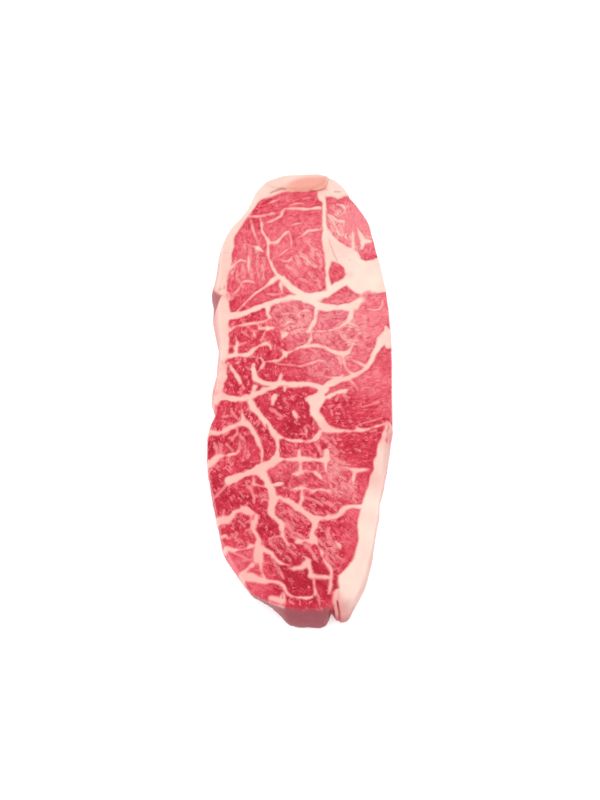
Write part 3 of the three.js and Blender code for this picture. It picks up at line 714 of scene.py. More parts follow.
fat_depth = np.clip(fat_depth, -DEEPEST, DEEPEST)
veil = np.zeros(len(points))
for most, run in VEILS:
    away = np.clip(-run_depth(pattern, run), 0, None)
    veil = np.maximum(veil, most * np.exp(-(away / VEIL_SOFTNESS) ** 2))
slit_depth = np.full(len(points), -DEEPEST)
slit_shade = np.zeros(len(points))
for shade, run in SLITS:
    depth = run_depth(pattern, run)
    slit_shade = np.where(depth > slit_depth, shade, slit_shade)
    slit_depth = np.maximum(slit_depth, depth)
slit_shade *= np.where(slit_shade < SHALLOW_BELOW, smoothstep(*SHALLOW_HEIGHTS, z), 1)


def blended_tone(at, spots, base, hold=0.15):
    """A tone that is each spot's own near the spot, and the base far from them all."""
    weight = np.full(len(at), hold)
    tone = np.full(len(at), hold * base)
    for spot_x, spot_y, reach, value in spots:
        near = np.exp(-((at[:, 0] - spot_x) ** 2 + (at[:, 1] - spot_y) ** 2) / reach**2)
        weight += near
        tone += near * value
    return tone / weight


# The muscle's tone, from 0 deep crimson to 1 pale rose: x, y, reach and tone.
LEAN_TONES = [
    (0, 104, 9, .68), (0, 75, 16, .86), (-26, 70, 12, .72), (27, 88, 11, .95), (19, 62, 6, .58),
    (-18, 53, 9, .66), (-22, 25, 14, .48), (-30, 5, 9, .36), (5, 32, 15, .8), (-15, 19, 6, .2),
    (33, 38, 11, 1.0), (41, 10, 6, .74), (32, 2, 8, .80), (18, 10, 12, .8), (-8, 8, 8, .48),
    (-25, -12, 10, .42), (-2, -12, 11, .28), (-13, -15, 6, .3), (28, -14, 12, .43), (22, -21, 6, .3),
    (-36, -30, 11, .36), (-22, -30, 7, .34), (-3, -45, 11, .60), (26, -34, 11, .36), (20, -48, 9, .64),
    (18, -43.5, 4, .82), (33, -56, 7, .58), (27, -78, 7, .60), (-28, -57, 11, .32), (0, -70, 11, .40),
    (12, -77, 8, .34), (9, -84, 5, .16), (-14, -76, 9, .28), (-32, -90, 8, .62), (-20, -105, 8, .58),
    (-2, -101, 9, .10), (11, -104, 6, .14), (-30, -74, 7, .38), (20, -92, 6, .42), (-5, -86, 8, .24),
    (0, -113, 5, .5), (12, -113, 4, .5), (38, 44, 2.4, .62), (-27.5, -35, 3, .7), (27, -67, 4, .74),
    (26, -79, 3.5, .72), (-31, -91, 5, .84), (-21, -103, 5, .76), (43, -10, 4, .72), (30, 88, 8, 1.3),
]
# How much fine marbling threads the muscle, from 0 none to 1 much.
MARBLINGS = [
    (0, 104, 8, .15), (0, 75, 14, .15), (-26, 70, 12, .25), (27, 88, 11, .2), (-18, 52, 9, .3),
    (-6, 37, 8, 1.0), (18, 34, 8, .7), (36, 38, 9, .15), (-25, 26, 9, .7), (5, 14, 9, .6),
    (-28, 2, 9, .9), (42, 8, 6, .1), (30, 2, 8, .3), (-25, -14, 9, .8), (-2, -14, 9, .6),
    (22, -10, 7, .9), (36, -14, 8, .5), (-37, -30, 10, .8), (-22, -28, 6, .6), (3, -33, 9, .9),
    (28, -36, 10, .5), (-5, -50, 10, .9), (18, -50, 9, 1), (32, -54, 6, .3), (-28, -55, 9, .7),
    (5, -58, 8, .8), (0, -72, 10, .9), (15, -78, 8, 1), (26, -82, 5, .1), (-25, -80, 7, .7),
    (-32, -90, 7, .1), (-12, -82, 9, .7), (-20, -105, 7, .12), (28, -66, 5, .03), (26, -80, 4, .03),
    (-2, -100, 8, .35), (12, -105, 7, .25),
]
# The fat's tone, from 0 cream to 1 pink.
FAT_TONES = [
    (5, 48, 12, .05), (-15, 45, 10, .22), (33, 60, 14, 0), (13, 90, 10, .1), (-14, 75, 12, .25),
    (-24, 104, 9, .1), (-34, 84, 8, .2), (-38, 55, 10, .3), (-38, 20, 16, .28), (-39, -3, 8, .35),
    (-3, 113, 12, .2), (22, 110, 6, .1), (0, 20, 14, .3), (40, 22, 7, .15), (0, 1, 10, .3),
    (10, -8, 8, .22), (-20, -12, 10, .4), (-36, -22, 10, .5), (-15, -42, 12, .45), (20, -24, 9, .5),
    (30, -44, 8, .55), (0, -62, 12, .55), (22, -64, 7, .6), (-25, -68, 10, .7), (-20, -86, 8, .65),
    (-24, -99, 8, .6), (8, -92, 10, .65), (30, -75, 9, .04), (38, -40, 7, .1), (24, -100, 8, .04),
    (17, -109, 3, .8), (-10, -109, 5, .6), (41, -22, 5, .45), (23.5, -90, 5, -.08), (30, -60, 8, -.05),
    (-36.5, 10, 3, .5), (-37, 0, 4, .7), (25.8, 61, 1.8, .5), (20, 62, 4, .15), (-12, -106, 3, .85),
    (2, 109, 2.5, .7),
]
lean_tone = blended_tone(pattern, LEAN_TONES, base=0.45)
fat_tone = blended_tone(pattern, FAT_TONES, base=0.4)
marbling = blended_tone(pattern, MARBLINGS, base=0.5)

# The way the grain of the muscle lies: x, y, reach and way.
LEVEL, UPRIGHT, FALLING = range(3)
GRAINS = [
    (30, -12, 14, LEVEL), (28, -36, 13, LEVEL), (15, 5, 8, LEVEL), (-3, 104, 10, LEVEL),
    (33, 30, 12, LEVEL), (-26, 68, 13, UPRIGHT), (30, 85, 12, UPRIGHT), (-30, -5, 12, UPRIGHT),
    (-36, -28, 9, UPRIGHT), (-22, 20, 9, UPRIGHT), (5, 72, 14, FALLING), (8, 15, 11, FALLING),
    (0, -14, 12, FALLING), (-5, -45, 12, FALLING), (-25, -58, 12, FALLING), (3, -72, 14, FALLING),
    (-5, -92, 10, FALLING), (12, -92, 9, FALLING), (20, -52, 9, FALLING), (-8, 35, 9, FALLING),
]
GRAIN_SHARPNESS = 3         # how abruptly one way gives over to the next
grain = np.stack([
    blended_tone(pattern, [(*spot, float(way == lie)) for *spot, way in GRAINS], base=1 / 3)
    for lie in (LEVEL, UPRIGHT, FALLING)
], axis=1)
grain = grain**GRAIN_SHARPNESS
grain /= grain.sum(axis=1)[:, None]

# The lip at the far end is salmon, and fades to the left into the cap.
LIP_EDGE = [
    (-13, 107), (-5, 106.6), (0, 106.2), (4, 106.2), (8, 107), (14.6, 108.4), (14.2, 112),
    (14, 116.4), (9, 116.2), (3, 115.4), (-2, 114.2), (-6, 112.6), (-9.5, 110.4), (-13, 108.4),
]
LIP_DEPTHS = (-1.0, 1.6)
LIP_FADE = (-15, -1)
lip = smoothstep(*LIP_DEPTHS, region_depth(pattern, LIP_EDGE)) * smoothstep(*LIP_FADE, pattern[:, 0])

# The cut side is greyer, partly as its dry skin and partly as painted shade where it turns from the
# light. At the near end it is painted mauve, partly dry skin and partly painted shade, and a patch of
# painted shade low on the left widens downwards. Faint painted shade lies on the end of the wedge,
# more towards its foot, and on the rest of the outer fat. Each stretch comes in between two places
# along X, Y and Z.
NEAR_END_SKIN_AND_SHADE = 0.95
MAUVE_SHADE = 0.84
WEDGE_END_SHADE = 0.3
WEDGE_END_LOWER = 0.3       # and this much more towards its foot
OUTER_SIDE_SHADE = 0.28
MAUVE_Y, MAUVE_TOP = 49.6, 18.6
MAUVE_SPREAD = 0.75         # what it widens to each side, for each millimetre down
MAUVE_SOFTNESS = 0.8
MAUVE_END = (8.6, 7.2)      # to each side of its Y
from_mauve = np.abs(y - MAUVE_Y)
beyond_mauve = from_mauve - MAUVE_SPREAD * (MAUVE_TOP - z)
mauve = smoothstep(MAUVE_SOFTNESS, -MAUVE_SOFTNESS, beyond_mauve)
mauve *= smoothstep(-30, -36, x) * smoothstep(*MAUVE_END, from_mauve)
near_end = smoothstep(-99, -107, y) * smoothstep(15.5, 14, x) * smoothstep(20.5, 16, z)
wedge_end = smoothstep(-106, -112, y) * smoothstep(14, 15.5, x)
wedge_end *= WEDGE_END_SHADE + WEDGE_END_LOWER * smoothstep(12, 5, z)
wedge_start = smoothstep(-52, -38, y) * smoothstep(-14, -22, y) * smoothstep(20, 28, x)
wedge_start *= smoothstep(0.5, 1, side) * smoothstep(19.5, 16, z)
outer_fat = np.maximum(left_fat, right_fat)[station] * smoothstep(0.6, 1, side) * smoothstep(17, 10, z)
skin = np.max([NEAR_END_SKIN_AND_SHADE * near_end, MAUVE_SHADE * mauve, wedge_end], axis=0)
skin *= np.clip(side + under, 0, 1)
skin = np.max([skin, OUTER_SIDE_SHADE * outer_fat, OUTER_SIDE_SHADE * wedge_start], axis=0)

# The outer fat is pinker low on the side, and pinker still under the mauve patch of painted shade.
FOOT_PINK = 0.2
FOOT_HEIGHTS = (16, 8)
MAUVE_PINK = 0.9
fat_tone += FOOT_PINK * side * smoothstep(*FOOT_HEIGHTS, z) + MAUVE_PINK * mauve


# The faces between the rings, closed by two narrow caps along the spine.
def ring_faces():
    corner = np.arange(len(rings) * ROUND).reshape(len(rings), ROUND)
    following = np.roll(corner, -1, axis=1)
    quads = np.stack([corner[:-1], corner[1:], following[1:], following[:-1]], axis=-1)
    return quads.reshape(-1, 4)


def cap_faces(first, facing):
    """Triangles across a long ring, worked along both of its sides by the shorter way."""
    faces = []
    left, right = 0, ROUND - 1
    while left + 1 < right:
        to_left = np.linalg.norm(points[first + left + 1] - points[first + right])
        to_right = np.linalg.norm(points[first + right - 1] - points[first + left])
        third = left + 1 if to_left < to_right else right - 1
        face = (first + left, first + third, first + right)
        faces.append(face if facing > 0 else face[::-1])
        left, right = (left + 1, right) if to_left < to_right else (left, right - 1)
    return faces


faces = ring_faces().tolist() + cap_faces(0, 1) + cap_faces((len(rings) - 1) * ROUND, -1)
slice_mesh = bpy.data.meshes.new("marbled_slice")
slice_mesh.from_pydata((points * MM).tolist(), [], faces)
carried = {
    "fat_depth": fat_depth,
    "seam_width": seam_width,
    "veil": veil,
    "slit_depth": slit_depth,
    "slit_shade": slit_shade,
    "lean_tone": lean_tone,
    "fat_tone": fat_tone,
    "marbling": marbling,
    "skin": skin,
    "lip": lip,
    "grain_level": grain[:, LEVEL],
    "grain_upright": grain[:, UPRIGHT],
    "grain_falling": grain[:, FALLING],
    "relief": np.where(under, 0.0, np.clip(z / FOOT_RADIUS, 0, 1)),
}
for name, values in carried.items():
    layer = slice_mesh.attributes.new(name, "FLOAT", "POINT")
    layer.data.foreach_set("value", np.asarray(values, dtype=np.float32))
slice_mesh.update()
steak = bpy.data.objects.new("marbled_slice", slice_mesh)
bpy.context.collection.objects.link(steak)


def add_node(tree, kind, inputs, out=0, **settings):
    """Adds a node with its settings, sets or links its inputs, and gives one of its outputs."""
    node = tree.nodes.new(kind)
    for name, value in settings.items():
        setattr(node, name, value)
    for key, value in inputs.items():
        if isinstance(value, bpy.types.NodeSocket):
            tree.links.new(value, node.inputs[key])
        else:
            node.inputs[key].default_value = value
    return node.outputs[out] if len(node.outputs) else node


def linear(hex_colour):
    """An sRGB hex colour as the linear RGBA that a socket takes."""
    channels = [int(hex_colour[at:at + 2], 16) / 255 for at in (1, 3, 5)]
    return [c / 12.92 if c <= 0.04045 else ((c + 0.055) / 1.055) ** 2.4 for c in channels] + [1.0]


# Raw marbled beef, freshly cut: wet lean in crimson to rose, streaked along its grain and flecked
# with pink marbling, with soft cream to pink fat between. The wet face gives a soft, broken gloss.

THREAD_WIDTH = 1.5          # spacing of the fine threads of marbling, across the grain
THREAD_LENGTH = 2.4         # and along it
FIBRE_WIDTH = 0.65          # of a streak of many fibres: one alone, under 0.1 wide, is too fine to show
FIBRE_LENGTH = 1.9
MOTTLE_SIZE = 2.6           # of the blotches of tone
CLOUD_SIZE = 9.0            # of the slow changes of tone
FRAY_SIZE = 4.2             # of the lobes along the edge between fat and lean
PATCH_SIZE = 2.8            # of the patches where threads show
BUNDLE_SIZE = 3.8           # of a bundle of fibres in the pale muscle
SWIRL_SIZE = 3.4            # of the bends in threads and streaks
SWIRL = 2.4                 # and how far they bend
LUMP_SCALE = 0.62           # scale of a noise whose lumps are about one unit wide
GRAIN_TURNS = {"grain_level": 14, "grain_upright": 80, "grain_falling": -44}    # degrees from X

LEAN_STOPS = [(0.0, "#9a1426"), (0.25, "#ad1c32"), (0.5, "#c63849"), (0.75, "#da5866"), (1.0, "#e67d84")]
FAT_STOPS = [(0.0, "#ead0c2"), (0.2, "#e4c2b6"), (0.45, "#e2afa6"), (0.75, "#e39c97"), (1.0, "#e27c80")]
PINK_FLECK = "#e0707c"
DUSKY_ROSE = "#b5647a"
RED_VEIL = "#e38388"
ROSE_VEIL = "#e2afa6"
NET_PINK = "#e39c97"
DARK_FIBRE_AND_SHADE = "#a32a3a"
LIP_SALMON = "#df9b8b"
# the mauve of dry skin, which also serves as painted shade on the side
DRY_SKIN_AND_SHADE = "#8b454c"
SLIT_RED_AND_SHADE = "#a3232a"

beef = bpy.data.materials.new("raw_marbled_beef_fresh_cut")
beef.use_nodes = True
tree = beef.node_tree
tree.nodes.clear()
read = {
    name: add_node(tree, "ShaderNodeAttribute", {}, out="Fac", attribute_name=name)
    for name in carried if name != "relief"
}
at_object = add_node(tree, "ShaderNodeTexCoord", {}, out="Object")
at_mm = add_node(tree, "ShaderNodeVectorMath", {0: at_object, "Scale": 1 / MM}, operation="SCALE")
swirl = add_node(
    tree, "ShaderNodeTexNoise", {"Vector": at_mm, "Scale": 1 / SWIRL_SIZE, "Detail": 1}, out="Color",
)
swirled = add_node(
    tree, "ShaderNodeVectorMath", {0: swirl, 1: [SWIRL] * 3, 2: at_mm}, operation="MULTIPLY_ADD",
)

# Threads of marbling and streaks of fibre both run along the grain.
GRAIN_NOISES = {
    "thread": (THREAD_LENGTH, THREAD_WIDTH, {"Detail": 1.5, "Roughness": 0.6, "Distortion": 0.9}),
    "fibre": (FIBRE_LENGTH, FIBRE_WIDTH, {"Detail": 4, "Roughness": 0.7, "Distortion": 0.2}),
}
along_grain = dict.fromkeys(GRAIN_NOISES, 0.0)
for lie, degrees in GRAIN_TURNS.items():
    turned = add_node(
        tree, "ShaderNodeMapping", {"Vector": swirled, "Rotation": (0, 0, -math.radians(degrees))},
    )
    for name, (length, width, noise) in GRAIN_NOISES.items():
        stretched = add_node(
            tree, "ShaderNodeMapping", {"Vector": turned, "Scale": (1 / length, 1 / width, 1 / length)},
        )
        lumps = add_node(tree, "ShaderNodeTexNoise", {"Vector": stretched, "Scale": LUMP_SCALE, **noise})
        along_grain[name] = add_node(
            tree, "ShaderNodeMath", {0: lumps, 1: read[lie], 2: along_grain[name]},
            operation="MULTIPLY_ADD",
        )
fibres = along_grain["fibre"]
fray = add_node(
    tree, "ShaderNodeTexNoise",
    {"Vector": at_mm, "Scale": 1 / FRAY_SIZE, "Detail": 2.5, "Roughness": 0.5},
)
clouds = add_node(tree, "ShaderNodeTexNoise", {"Vector": at_mm, "Scale": 1 / CLOUD_SIZE, "Detail": 2})
mottle = add_node(tree, "ShaderNodeTexNoise", {"Vector": swirled, "Scale": 1 / MOTTLE_SIZE, "Detail": 1})
patches = add_node(tree, "ShaderNodeTexNoise", {"Vector": at_mm, "Scale": 1 / PATCH_SIZE, "Detail": 1})

# The fat's edge is lobed where the muscle is marbled, and less so along a thin seam.
THIN_WIDTHS = (2.6, 0.7)    # a seam turns thin between these widths
EDGE_DEPTHS = (-0.75, 0.5)  # lean turns to fat between these depths
LOBES = 0.8                 # swing of the edge in plain muscle
MARBLED_LOBES = 3.0         # and what full marbling adds to it
THIN_STEADY = 0.75          # share of its swing that a thin seam's edge loses
THIN_FAINT = 0.15           # share of its fat that a thin seam loses
thin = add_node(
    tree, "ShaderNodeMapRange", {0: read["seam_width"], 1: THIN_WIDTHS[0], 2: THIN_WIDTHS[1]},
    interpolation_type="SMOOTHSTEP",
)
centred = add_node(tree, "ShaderNodeMath", {0: fray, 1: 0.5}, operation="SUBTRACT")
lobe_size = add_node(
    tree, "ShaderNodeMath", {0: read["marbling"], 1: MARBLED_LOBES, 2: LOBES}, operation="MULTIPLY_ADD",
)
steady = add_node(tree, "ShaderNodeMath", {0: thin, 1: -THIN_STEADY, 2: 1.0}, operation="MULTIPLY_ADD")
lobe_size = add_node(tree, "ShaderNodeMath", {0: lobe_size, 1: steady}, operation="MULTIPLY")
frayed = add_node(
    tree, "ShaderNodeMath", {0: centred, 1: lobe_size, 2: read["fat_depth"]}, operation="MULTIPLY_ADD",
)
fat_share = add_node(
    tree, "ShaderNodeMapRange", {0: frayed, 1: EDGE_DEPTHS[0], 2: EDGE_DEPTHS[1]},
    interpolation_type="SMOOTHSTEP",
)
faint = add_node(tree, "ShaderNodeMath", {0: thin, 1: -THIN_FAINT, 2: 1.0}, operation="MULTIPLY_ADD")
fat_share = add_node(tree, "ShaderNodeMath", {0: fat_share, 1: faint}, operation="MULTIPLY")

# A thread shows where its noise passes through the middle value, in patches. A fleck shows where a
# patch and a streak of fibres are both at their strongest.
THREAD_PATCH = (0.48, 0.64)     # threads come in between these values of the patches
THREAD_HALF = 0.07              # half a thread's width, as a swing of its noise
THREAD_EDGE = (0.02, -0.03)     # and its soft edge, from outside to inside
MOST_THREAD = 0.95
FLECK_PATCH = 0.9               # weight of the patches against the fibres
FLECK_EDGE = (1.05, 1.2)
MOST_FLECK = 0.6
off_thread = add_node(tree, "ShaderNodeMath", {0: along_grain["thread"], 1: 0.5}, operation="SUBTRACT")
off_thread = add_node(tree, "ShaderNodeMath", {0: off_thread}, operation="ABSOLUTE")
width = add_node(
    tree, "ShaderNodeMapRange", {0: patches, 1: THREAD_PATCH[0], 2: THREAD_PATCH[1], 3: 0, 4: THREAD_HALF},
    interpolation_type="SMOOTHSTEP",
)
width = add_node(tree, "ShaderNodeMath", {0: width, 1: read["marbling"]}, operation="MULTIPLY")
off_thread = add_node(tree, "ShaderNodeMath", {0: off_thread, 1: width}, operation="SUBTRACT")
thread_share = add_node(
    tree, "ShaderNodeMapRange", {0: off_thread, 1: THREAD_EDGE[0], 2: THREAD_EDGE[1], 3: 0, 4: MOST_THREAD},
    interpolation_type="SMOOTHSTEP",
)
flecks = add_node(
    tree, "ShaderNodeMath", {0: patches, 1: FLECK_PATCH, 2: fibres}, operation="MULTIPLY_ADD",
)
fleck_share = add_node(
    tree, "ShaderNodeMapRange", {0: flecks, 1: FLECK_EDGE[0], 2: FLECK_EDGE[1], 3: 0, 4: MOST_FLECK},
    interpolation_type="SMOOTHSTEP",
)
fleck_share = add_node(tree, "ShaderNodeMath", {0: fleck_share, 1: read["marbling"]}, operation="MULTIPLY")

# Pale muscle that is threaded with fat has a dusky, greyer rose than the plain muscle. A veil of
# marbling is broken up along the grain.
PALE_TONES = (0.5, 0.9)         # muscle turns pale between these tones
MOST_DUSKY = 0.6
VEIL_STREAKS = (0.36, 0.58)     # between these values of the fibres, a veil grows
VEIL_SHARES = (0.15, 1.9)       # from the first of these shares of its strength to the second
pale_muscle = add_node(
    tree, "ShaderNodeMapRange", {0: read["lean_tone"], 1: PALE_TONES[0], 2: PALE_TONES[1]},
)
threaded = add_node(tree, "ShaderNodeMath", {0: read["marbling"], 1: pale_muscle}, operation="MULTIPLY")
dusky = add_node(tree, "ShaderNodeMapRange", {0: threaded, 1: 0, 2: 1, 3: 0, 4: MOST_DUSKY})
unevenly = add_node(
    tree, "ShaderNodeMapRange",
    {0: fibres, 1: VEIL_STREAKS[0], 2: VEIL_STREAKS[1], 3: VEIL_SHARES[0], 4: VEIL_SHARES[1]},
    interpolation_type="SMOOTHSTEP",
)
veil = add_node(
    tree, "ShaderNodeMath", {0: unevenly, 1: read["veil"]}, operation="MULTIPLY", use_clamp=True,
)
veil_colour = add_node(
    tree, "ShaderNodeMix", {0: pale_muscle, 6: linear(RED_VEIL), 7: linear(ROSE_VEIL)}, out=2,
    data_type="RGBA",
)

# In the threaded pale muscle, a fine net of fat shows faintly, and dark streaks show between fibres, partly
# darker fibre and partly painted shade in the creases between them.
NET_EDGE = (0.22, 0.03)     # off a bundle's rim, as a share of its size
NET_BLOTCH = (0.35, 0.58)
LEAST_NET = 0.25
DARK_STREAKS = (0.45, 0.36)
off_net = add_node(
    tree, "ShaderNodeTexVoronoi", {"Vector": swirled, "Scale": 1 / BUNDLE_SIZE}, out="Distance",
    feature="DISTANCE_TO_EDGE",
)
net = add_node(
    tree, "ShaderNodeMapRange", {0: off_net, 1: NET_EDGE[0], 2: NET_EDGE[1]},
    interpolation_type="SMOOTHSTEP",
)
here = add_node(
    tree, "ShaderNodeMapRange", {0: mottle, 1: NET_BLOTCH[0], 2: NET_BLOTCH[1], 3: LEAST_NET, 4: 1.0},
    interpolation_type="SMOOTHSTEP",
)
net = add_node(tree, "ShaderNodeMath", {0: net, 1: threaded}, operation="MULTIPLY")
net = add_node(tree, "ShaderNodeMath", {0: net, 1: here}, operation="MULTIPLY")
dark = add_node(
    tree, "ShaderNodeMapRange", {0: fibres, 1: DARK_STREAKS[0], 2: DARK_STREAKS[1]},
    interpolation_type="SMOOTHSTEP",
)
dark = add_node(tree, "ShaderNodeMath", {0: dark, 1: threaded}, operation="MULTIPLY")

# The lean's tone drifts, is blotched and is streaked along the grain, more so where it is marbled,
# and it is painted deeper beside the fat, as shade below the fat's raised edge.
LEAN_CLOUDS = 0.6
MOTTLING = (0.3, 0.35)      # swing of the blotches in plain muscle, and what full marbling adds
STREAKING = (0.95, 0.75)    # the same for the streaks
BESIDE_DEPTHS = (-1.2, -0.4)
SHADE_BESIDE_FAT = 0.12
lean = add_node(
    tree, "ShaderNodeMath", {0: clouds, 1: LEAN_CLOUDS, 2: read["lean_tone"]}, operation="MULTIPLY_ADD",
)
lean = add_node(tree, "ShaderNodeMath", {0: lean, 1: LEAN_CLOUDS / 2}, operation="SUBTRACT")
for noise, (plain, added) in ((mottle, MOTTLING), (fibres, STREAKING)):
    centred = add_node(tree, "ShaderNodeMath", {0: noise, 1: 0.5}, operation="SUBTRACT")
    swing = add_node(
        tree, "ShaderNodeMath", {0: read["marbling"], 1: added, 2: plain}, operation="MULTIPLY_ADD",
    )
    lean = add_node(tree, "ShaderNodeMath", {0: centred, 1: swing, 2: lean}, operation="MULTIPLY_ADD")
shade_beside_fat = add_node(
    tree, "ShaderNodeMapRange", {0: frayed, 1: BESIDE_DEPTHS[0], 2: BESIDE_DEPTHS[1], 3: 0, 4: SHADE_BESIDE_FAT},
    interpolation_type="SMOOTHSTEP",
)
lean = add_node(tree, "ShaderNodeMath", {0: lean, 1: shade_beside_fat}, operation="SUBTRACT")

# The fat is cream in the middle of a broad seam, and pinker at its rim and in a thin one, though a
# thin seam stays pale against pale muscle.
FAT_CLOUDS = 0.35
RIM_DEPTHS = (1.0, -0.3)
RIM_PINK = 0.75
THIN_PINK = 0.45
LESS_PINK = 0.9             # share of that pink which a thin seam loses in pale muscle
fat = add_node(
    tree, "ShaderNodeMath", {0: clouds, 1: FAT_CLOUDS, 2: read["fat_tone"]}, operation="MULTIPLY_ADD",
)
rim = add_node(
    tree, "ShaderNodeMapRange", {0: frayed, 1: RIM_DEPTHS[0], 2: RIM_DEPTHS[1], 3: 0, 4: RIM_PINK},
    interpolation_type="SMOOTHSTEP",
)
fat = add_node(tree, "ShaderNodeMath", {0: fat, 1: rim}, operation="ADD")
in_red = add_node(
    tree, "ShaderNodeMath", {0: pale_muscle, 1: -LESS_PINK, 2: 1.0}, operation="MULTIPLY_ADD",
)
in_red = add_node(tree, "ShaderNodeMath", {0: in_red, 1: thin}, operation="MULTIPLY")
fat = add_node(tree, "ShaderNodeMath", {0: in_red, 1: THIN_PINK, 2: fat}, operation="MULTIPLY_ADD")
fat = add_node(tree, "ShaderNodeMath", {0: fat, 1: FAT_CLOUDS / 2}, operation="SUBTRACT")

# A slit is painted red along its middle, partly its own red and partly painted shade in the crease.
SLIT_DEPTHS = (-0.3, 0.25)
slit = add_node(
    tree, "ShaderNodeMapRange", {0: read["slit_depth"], 1: SLIT_DEPTHS[0], 2: SLIT_DEPTHS[1]},
    interpolation_type="SMOOTHSTEP",
)
slit = add_node(tree, "ShaderNodeMath", {0: slit, 1: read["slit_shade"]}, operation="MULTIPLY")

# Each tissue takes its colour from its tone, and the rest lies over it: share by share, in order.
# Fat lies over lean, and the dry skin and painted shade of the side and the red and painted shade of a slit
# lie over both.
colours = []
for tone, stops, over in (
    (lean, LEAN_STOPS, [
        (fleck_share, linear(PINK_FLECK)), (thread_share, linear(PINK_FLECK)),
        (dusky, linear(DUSKY_ROSE)), (veil, veil_colour),
        (net, linear(NET_PINK)), (dark, linear(DARK_FIBRE_AND_SHADE)),
    ]),
    (fat, FAT_STOPS, [(read["lip"], linear(LIP_SALMON))]),
):
    colour = linear(stops[0][1])
    for (low, _), (high, stop) in itertools.pairwise(stops):
        share = add_node(tree, "ShaderNodeMapRange", {0: tone, 1: low, 2: high})
        colour = add_node(
            tree, "ShaderNodeMix", {0: share, 6: colour, 7: linear(stop)}, out=2, data_type="RGBA",
        )
    for share, laid in over:
        colour = add_node(tree, "ShaderNodeMix", {0: share, 6: colour, 7: laid}, out=2, data_type="RGBA")
    colours.append(colour)
colour, fat_colour = colours
for share, laid in ((fat_share, fat_colour), (read["skin"], linear(DRY_SKIN_AND_SHADE)), (slit, linear(SLIT_RED_AND_SHADE))):
    colour = add_node(tree, "ShaderNodeMix", {0: share, 6: colour, 7: laid}, out=2, data_type="RGBA")

WET_ROUGHNESS = 0.42
WET_IOR = 1.4
SOFT_GLOSS = 0.15
FIBRE_BUMP = 0.6            # of the fibres, set against the step up from lean to fat
BUMP_DEPTH = 0.10
bumps = add_node(
    tree, "ShaderNodeMath", {0: fibres, 1: FIBRE_BUMP, 2: fat_share}, operation="MULTIPLY_ADD",
)
bump = add_node(tree, "ShaderNodeBump", {"Height": bumps, "Distance": BUMP_DEPTH * MM, "Strength": 1.0})
shader = add_node(
    tree, "ShaderNodeBsdfPrincipled",
    {
        "Base Color": colour, "Roughness": WET_ROUGHNESS, "Normal": bump, "IOR": WET_IOR,
        "Specular IOR Level": SOFT_GLOSS,
    },
)
add_node(tree, "ShaderNodeOutputMaterial", {"Surface": shader})


# The wet relief of the cut face: fat stands a little proud of the lean, lean is drawn into fine
# wrinkles, the outer fat is lumpy, and the slits go in. It fades out at the foot.
RELIEF = {
    "Fat rise": 0.28, "Wrinkle depth": 0.22, "Wrinkle size": 2.6, "Lump depth": 0.35, "Lump size": 9.0,
    "Slit depth": 0.9,
}
RISE_DEPTHS = (-0.5, 0.8)   # the fat rises between these depths
SINK_DEPTHS = (-0.7, 0.4)   # and a slit sinks between these
WRINKLE_SEED = 3.0
LUMP_SEED = 11.0
sculpt = bpy.data.node_groups.new("cut_face_relief", "GeometryNodeTree")
sculpt.interface.new_socket("Geometry", in_out="INPUT", socket_type="NodeSocketGeometry")
sculpt.interface.new_socket("Geometry", in_out="OUTPUT", socket_type="NodeSocketGeometry")
inputs = {
    name: sculpt.interface.new_socket(name, in_out="INPUT", socket_type="NodeSocketFloat")
    for name in RELIEF
}
inputs["Finish"] = sculpt.interface.new_socket("Finish", in_out="INPUT", socket_type="NodeSocketMaterial")
given = sculpt.nodes.new("NodeGroupInput").outputs
read = {
    name: add_node(
        sculpt, "GeometryNodeInputNamedAttribute", {"Name": name}, out="Attribute", data_type="FLOAT",
    )
    for name in ("fat_depth", "slit_depth", "slit_shade", "relief")
}
at = add_node(sculpt, "GeometryNodeInputPosition", {})
at_mm = add_node(sculpt, "ShaderNodeVectorMath", {0: at, "Scale": 1 / MM}, operation="SCALE")
proud = add_node(
    sculpt, "ShaderNodeMapRange", {0: read["fat_depth"], 1: RISE_DEPTHS[0], 2: RISE_DEPTHS[1]},
    interpolation_type="SMOOTHSTEP",
)
height = add_node(sculpt, "ShaderNodeMath", {0: proud, 1: given["Fat rise"]}, operation="MULTIPLY")
for size, depth, seed in (
    ("Wrinkle size", "Wrinkle depth", WRINKLE_SEED), ("Lump size", "Lump depth", LUMP_SEED),
):
    scale = add_node(sculpt, "ShaderNodeMath", {0: 1.0, 1: given[size]}, operation="DIVIDE")
    noise = add_node(
        sculpt, "ShaderNodeTexNoise", {"Vector": at_mm, "W": seed, "Scale": scale, "Detail": 2},
        noise_dimensions="4D",
    )
    swing = add_node(sculpt, "ShaderNodeMath", {0: noise, 1: 2.0, 2: -1.0}, operation="MULTIPLY_ADD")
    height = add_node(
        sculpt, "ShaderNodeMath", {0: swing, 1: given[depth], 2: height}, operation="MULTIPLY_ADD",
    )
cut = add_node(
    sculpt, "ShaderNodeMapRange", {0: read["slit_depth"], 1: SINK_DEPTHS[0], 2: SINK_DEPTHS[1], 3: 0, 4: -1},
    interpolation_type="SMOOTHSTEP",
)
cut = add_node(sculpt, "ShaderNodeMath", {0: cut, 1: read["slit_shade"]}, operation="MULTIPLY")
height = add_node(
    sculpt, "ShaderNodeMath", {0: cut, 1: given["Slit depth"], 2: height}, operation="MULTIPLY_ADD",
)
for factor in (read["relief"], MM):
    height = add_node(sculpt, "ShaderNodeMath", {0: height, 1: factor}, operation="MULTIPLY")
way_out = add_node(sculpt, "GeometryNodeInputNormal", {})
offset = add_node(sculpt, "ShaderNodeVectorMath", {0: way_out, "Scale": height}, operation="SCALE")
moved = add_node(sculpt, "GeometryNodeSetPosition", {"Geometry": given["Geometry"], "Offset": offset})
realized = add_node(sculpt, "GeometryNodeRealizeInstances", {"Geometry": moved})
finished = add_node(
    sculpt, "GeometryNodeSetMaterial", {"Geometry": realized, "Material": given["Finish"]},
)
add_node(sculpt, "NodeGroupOutput", {"Geometry": finished})

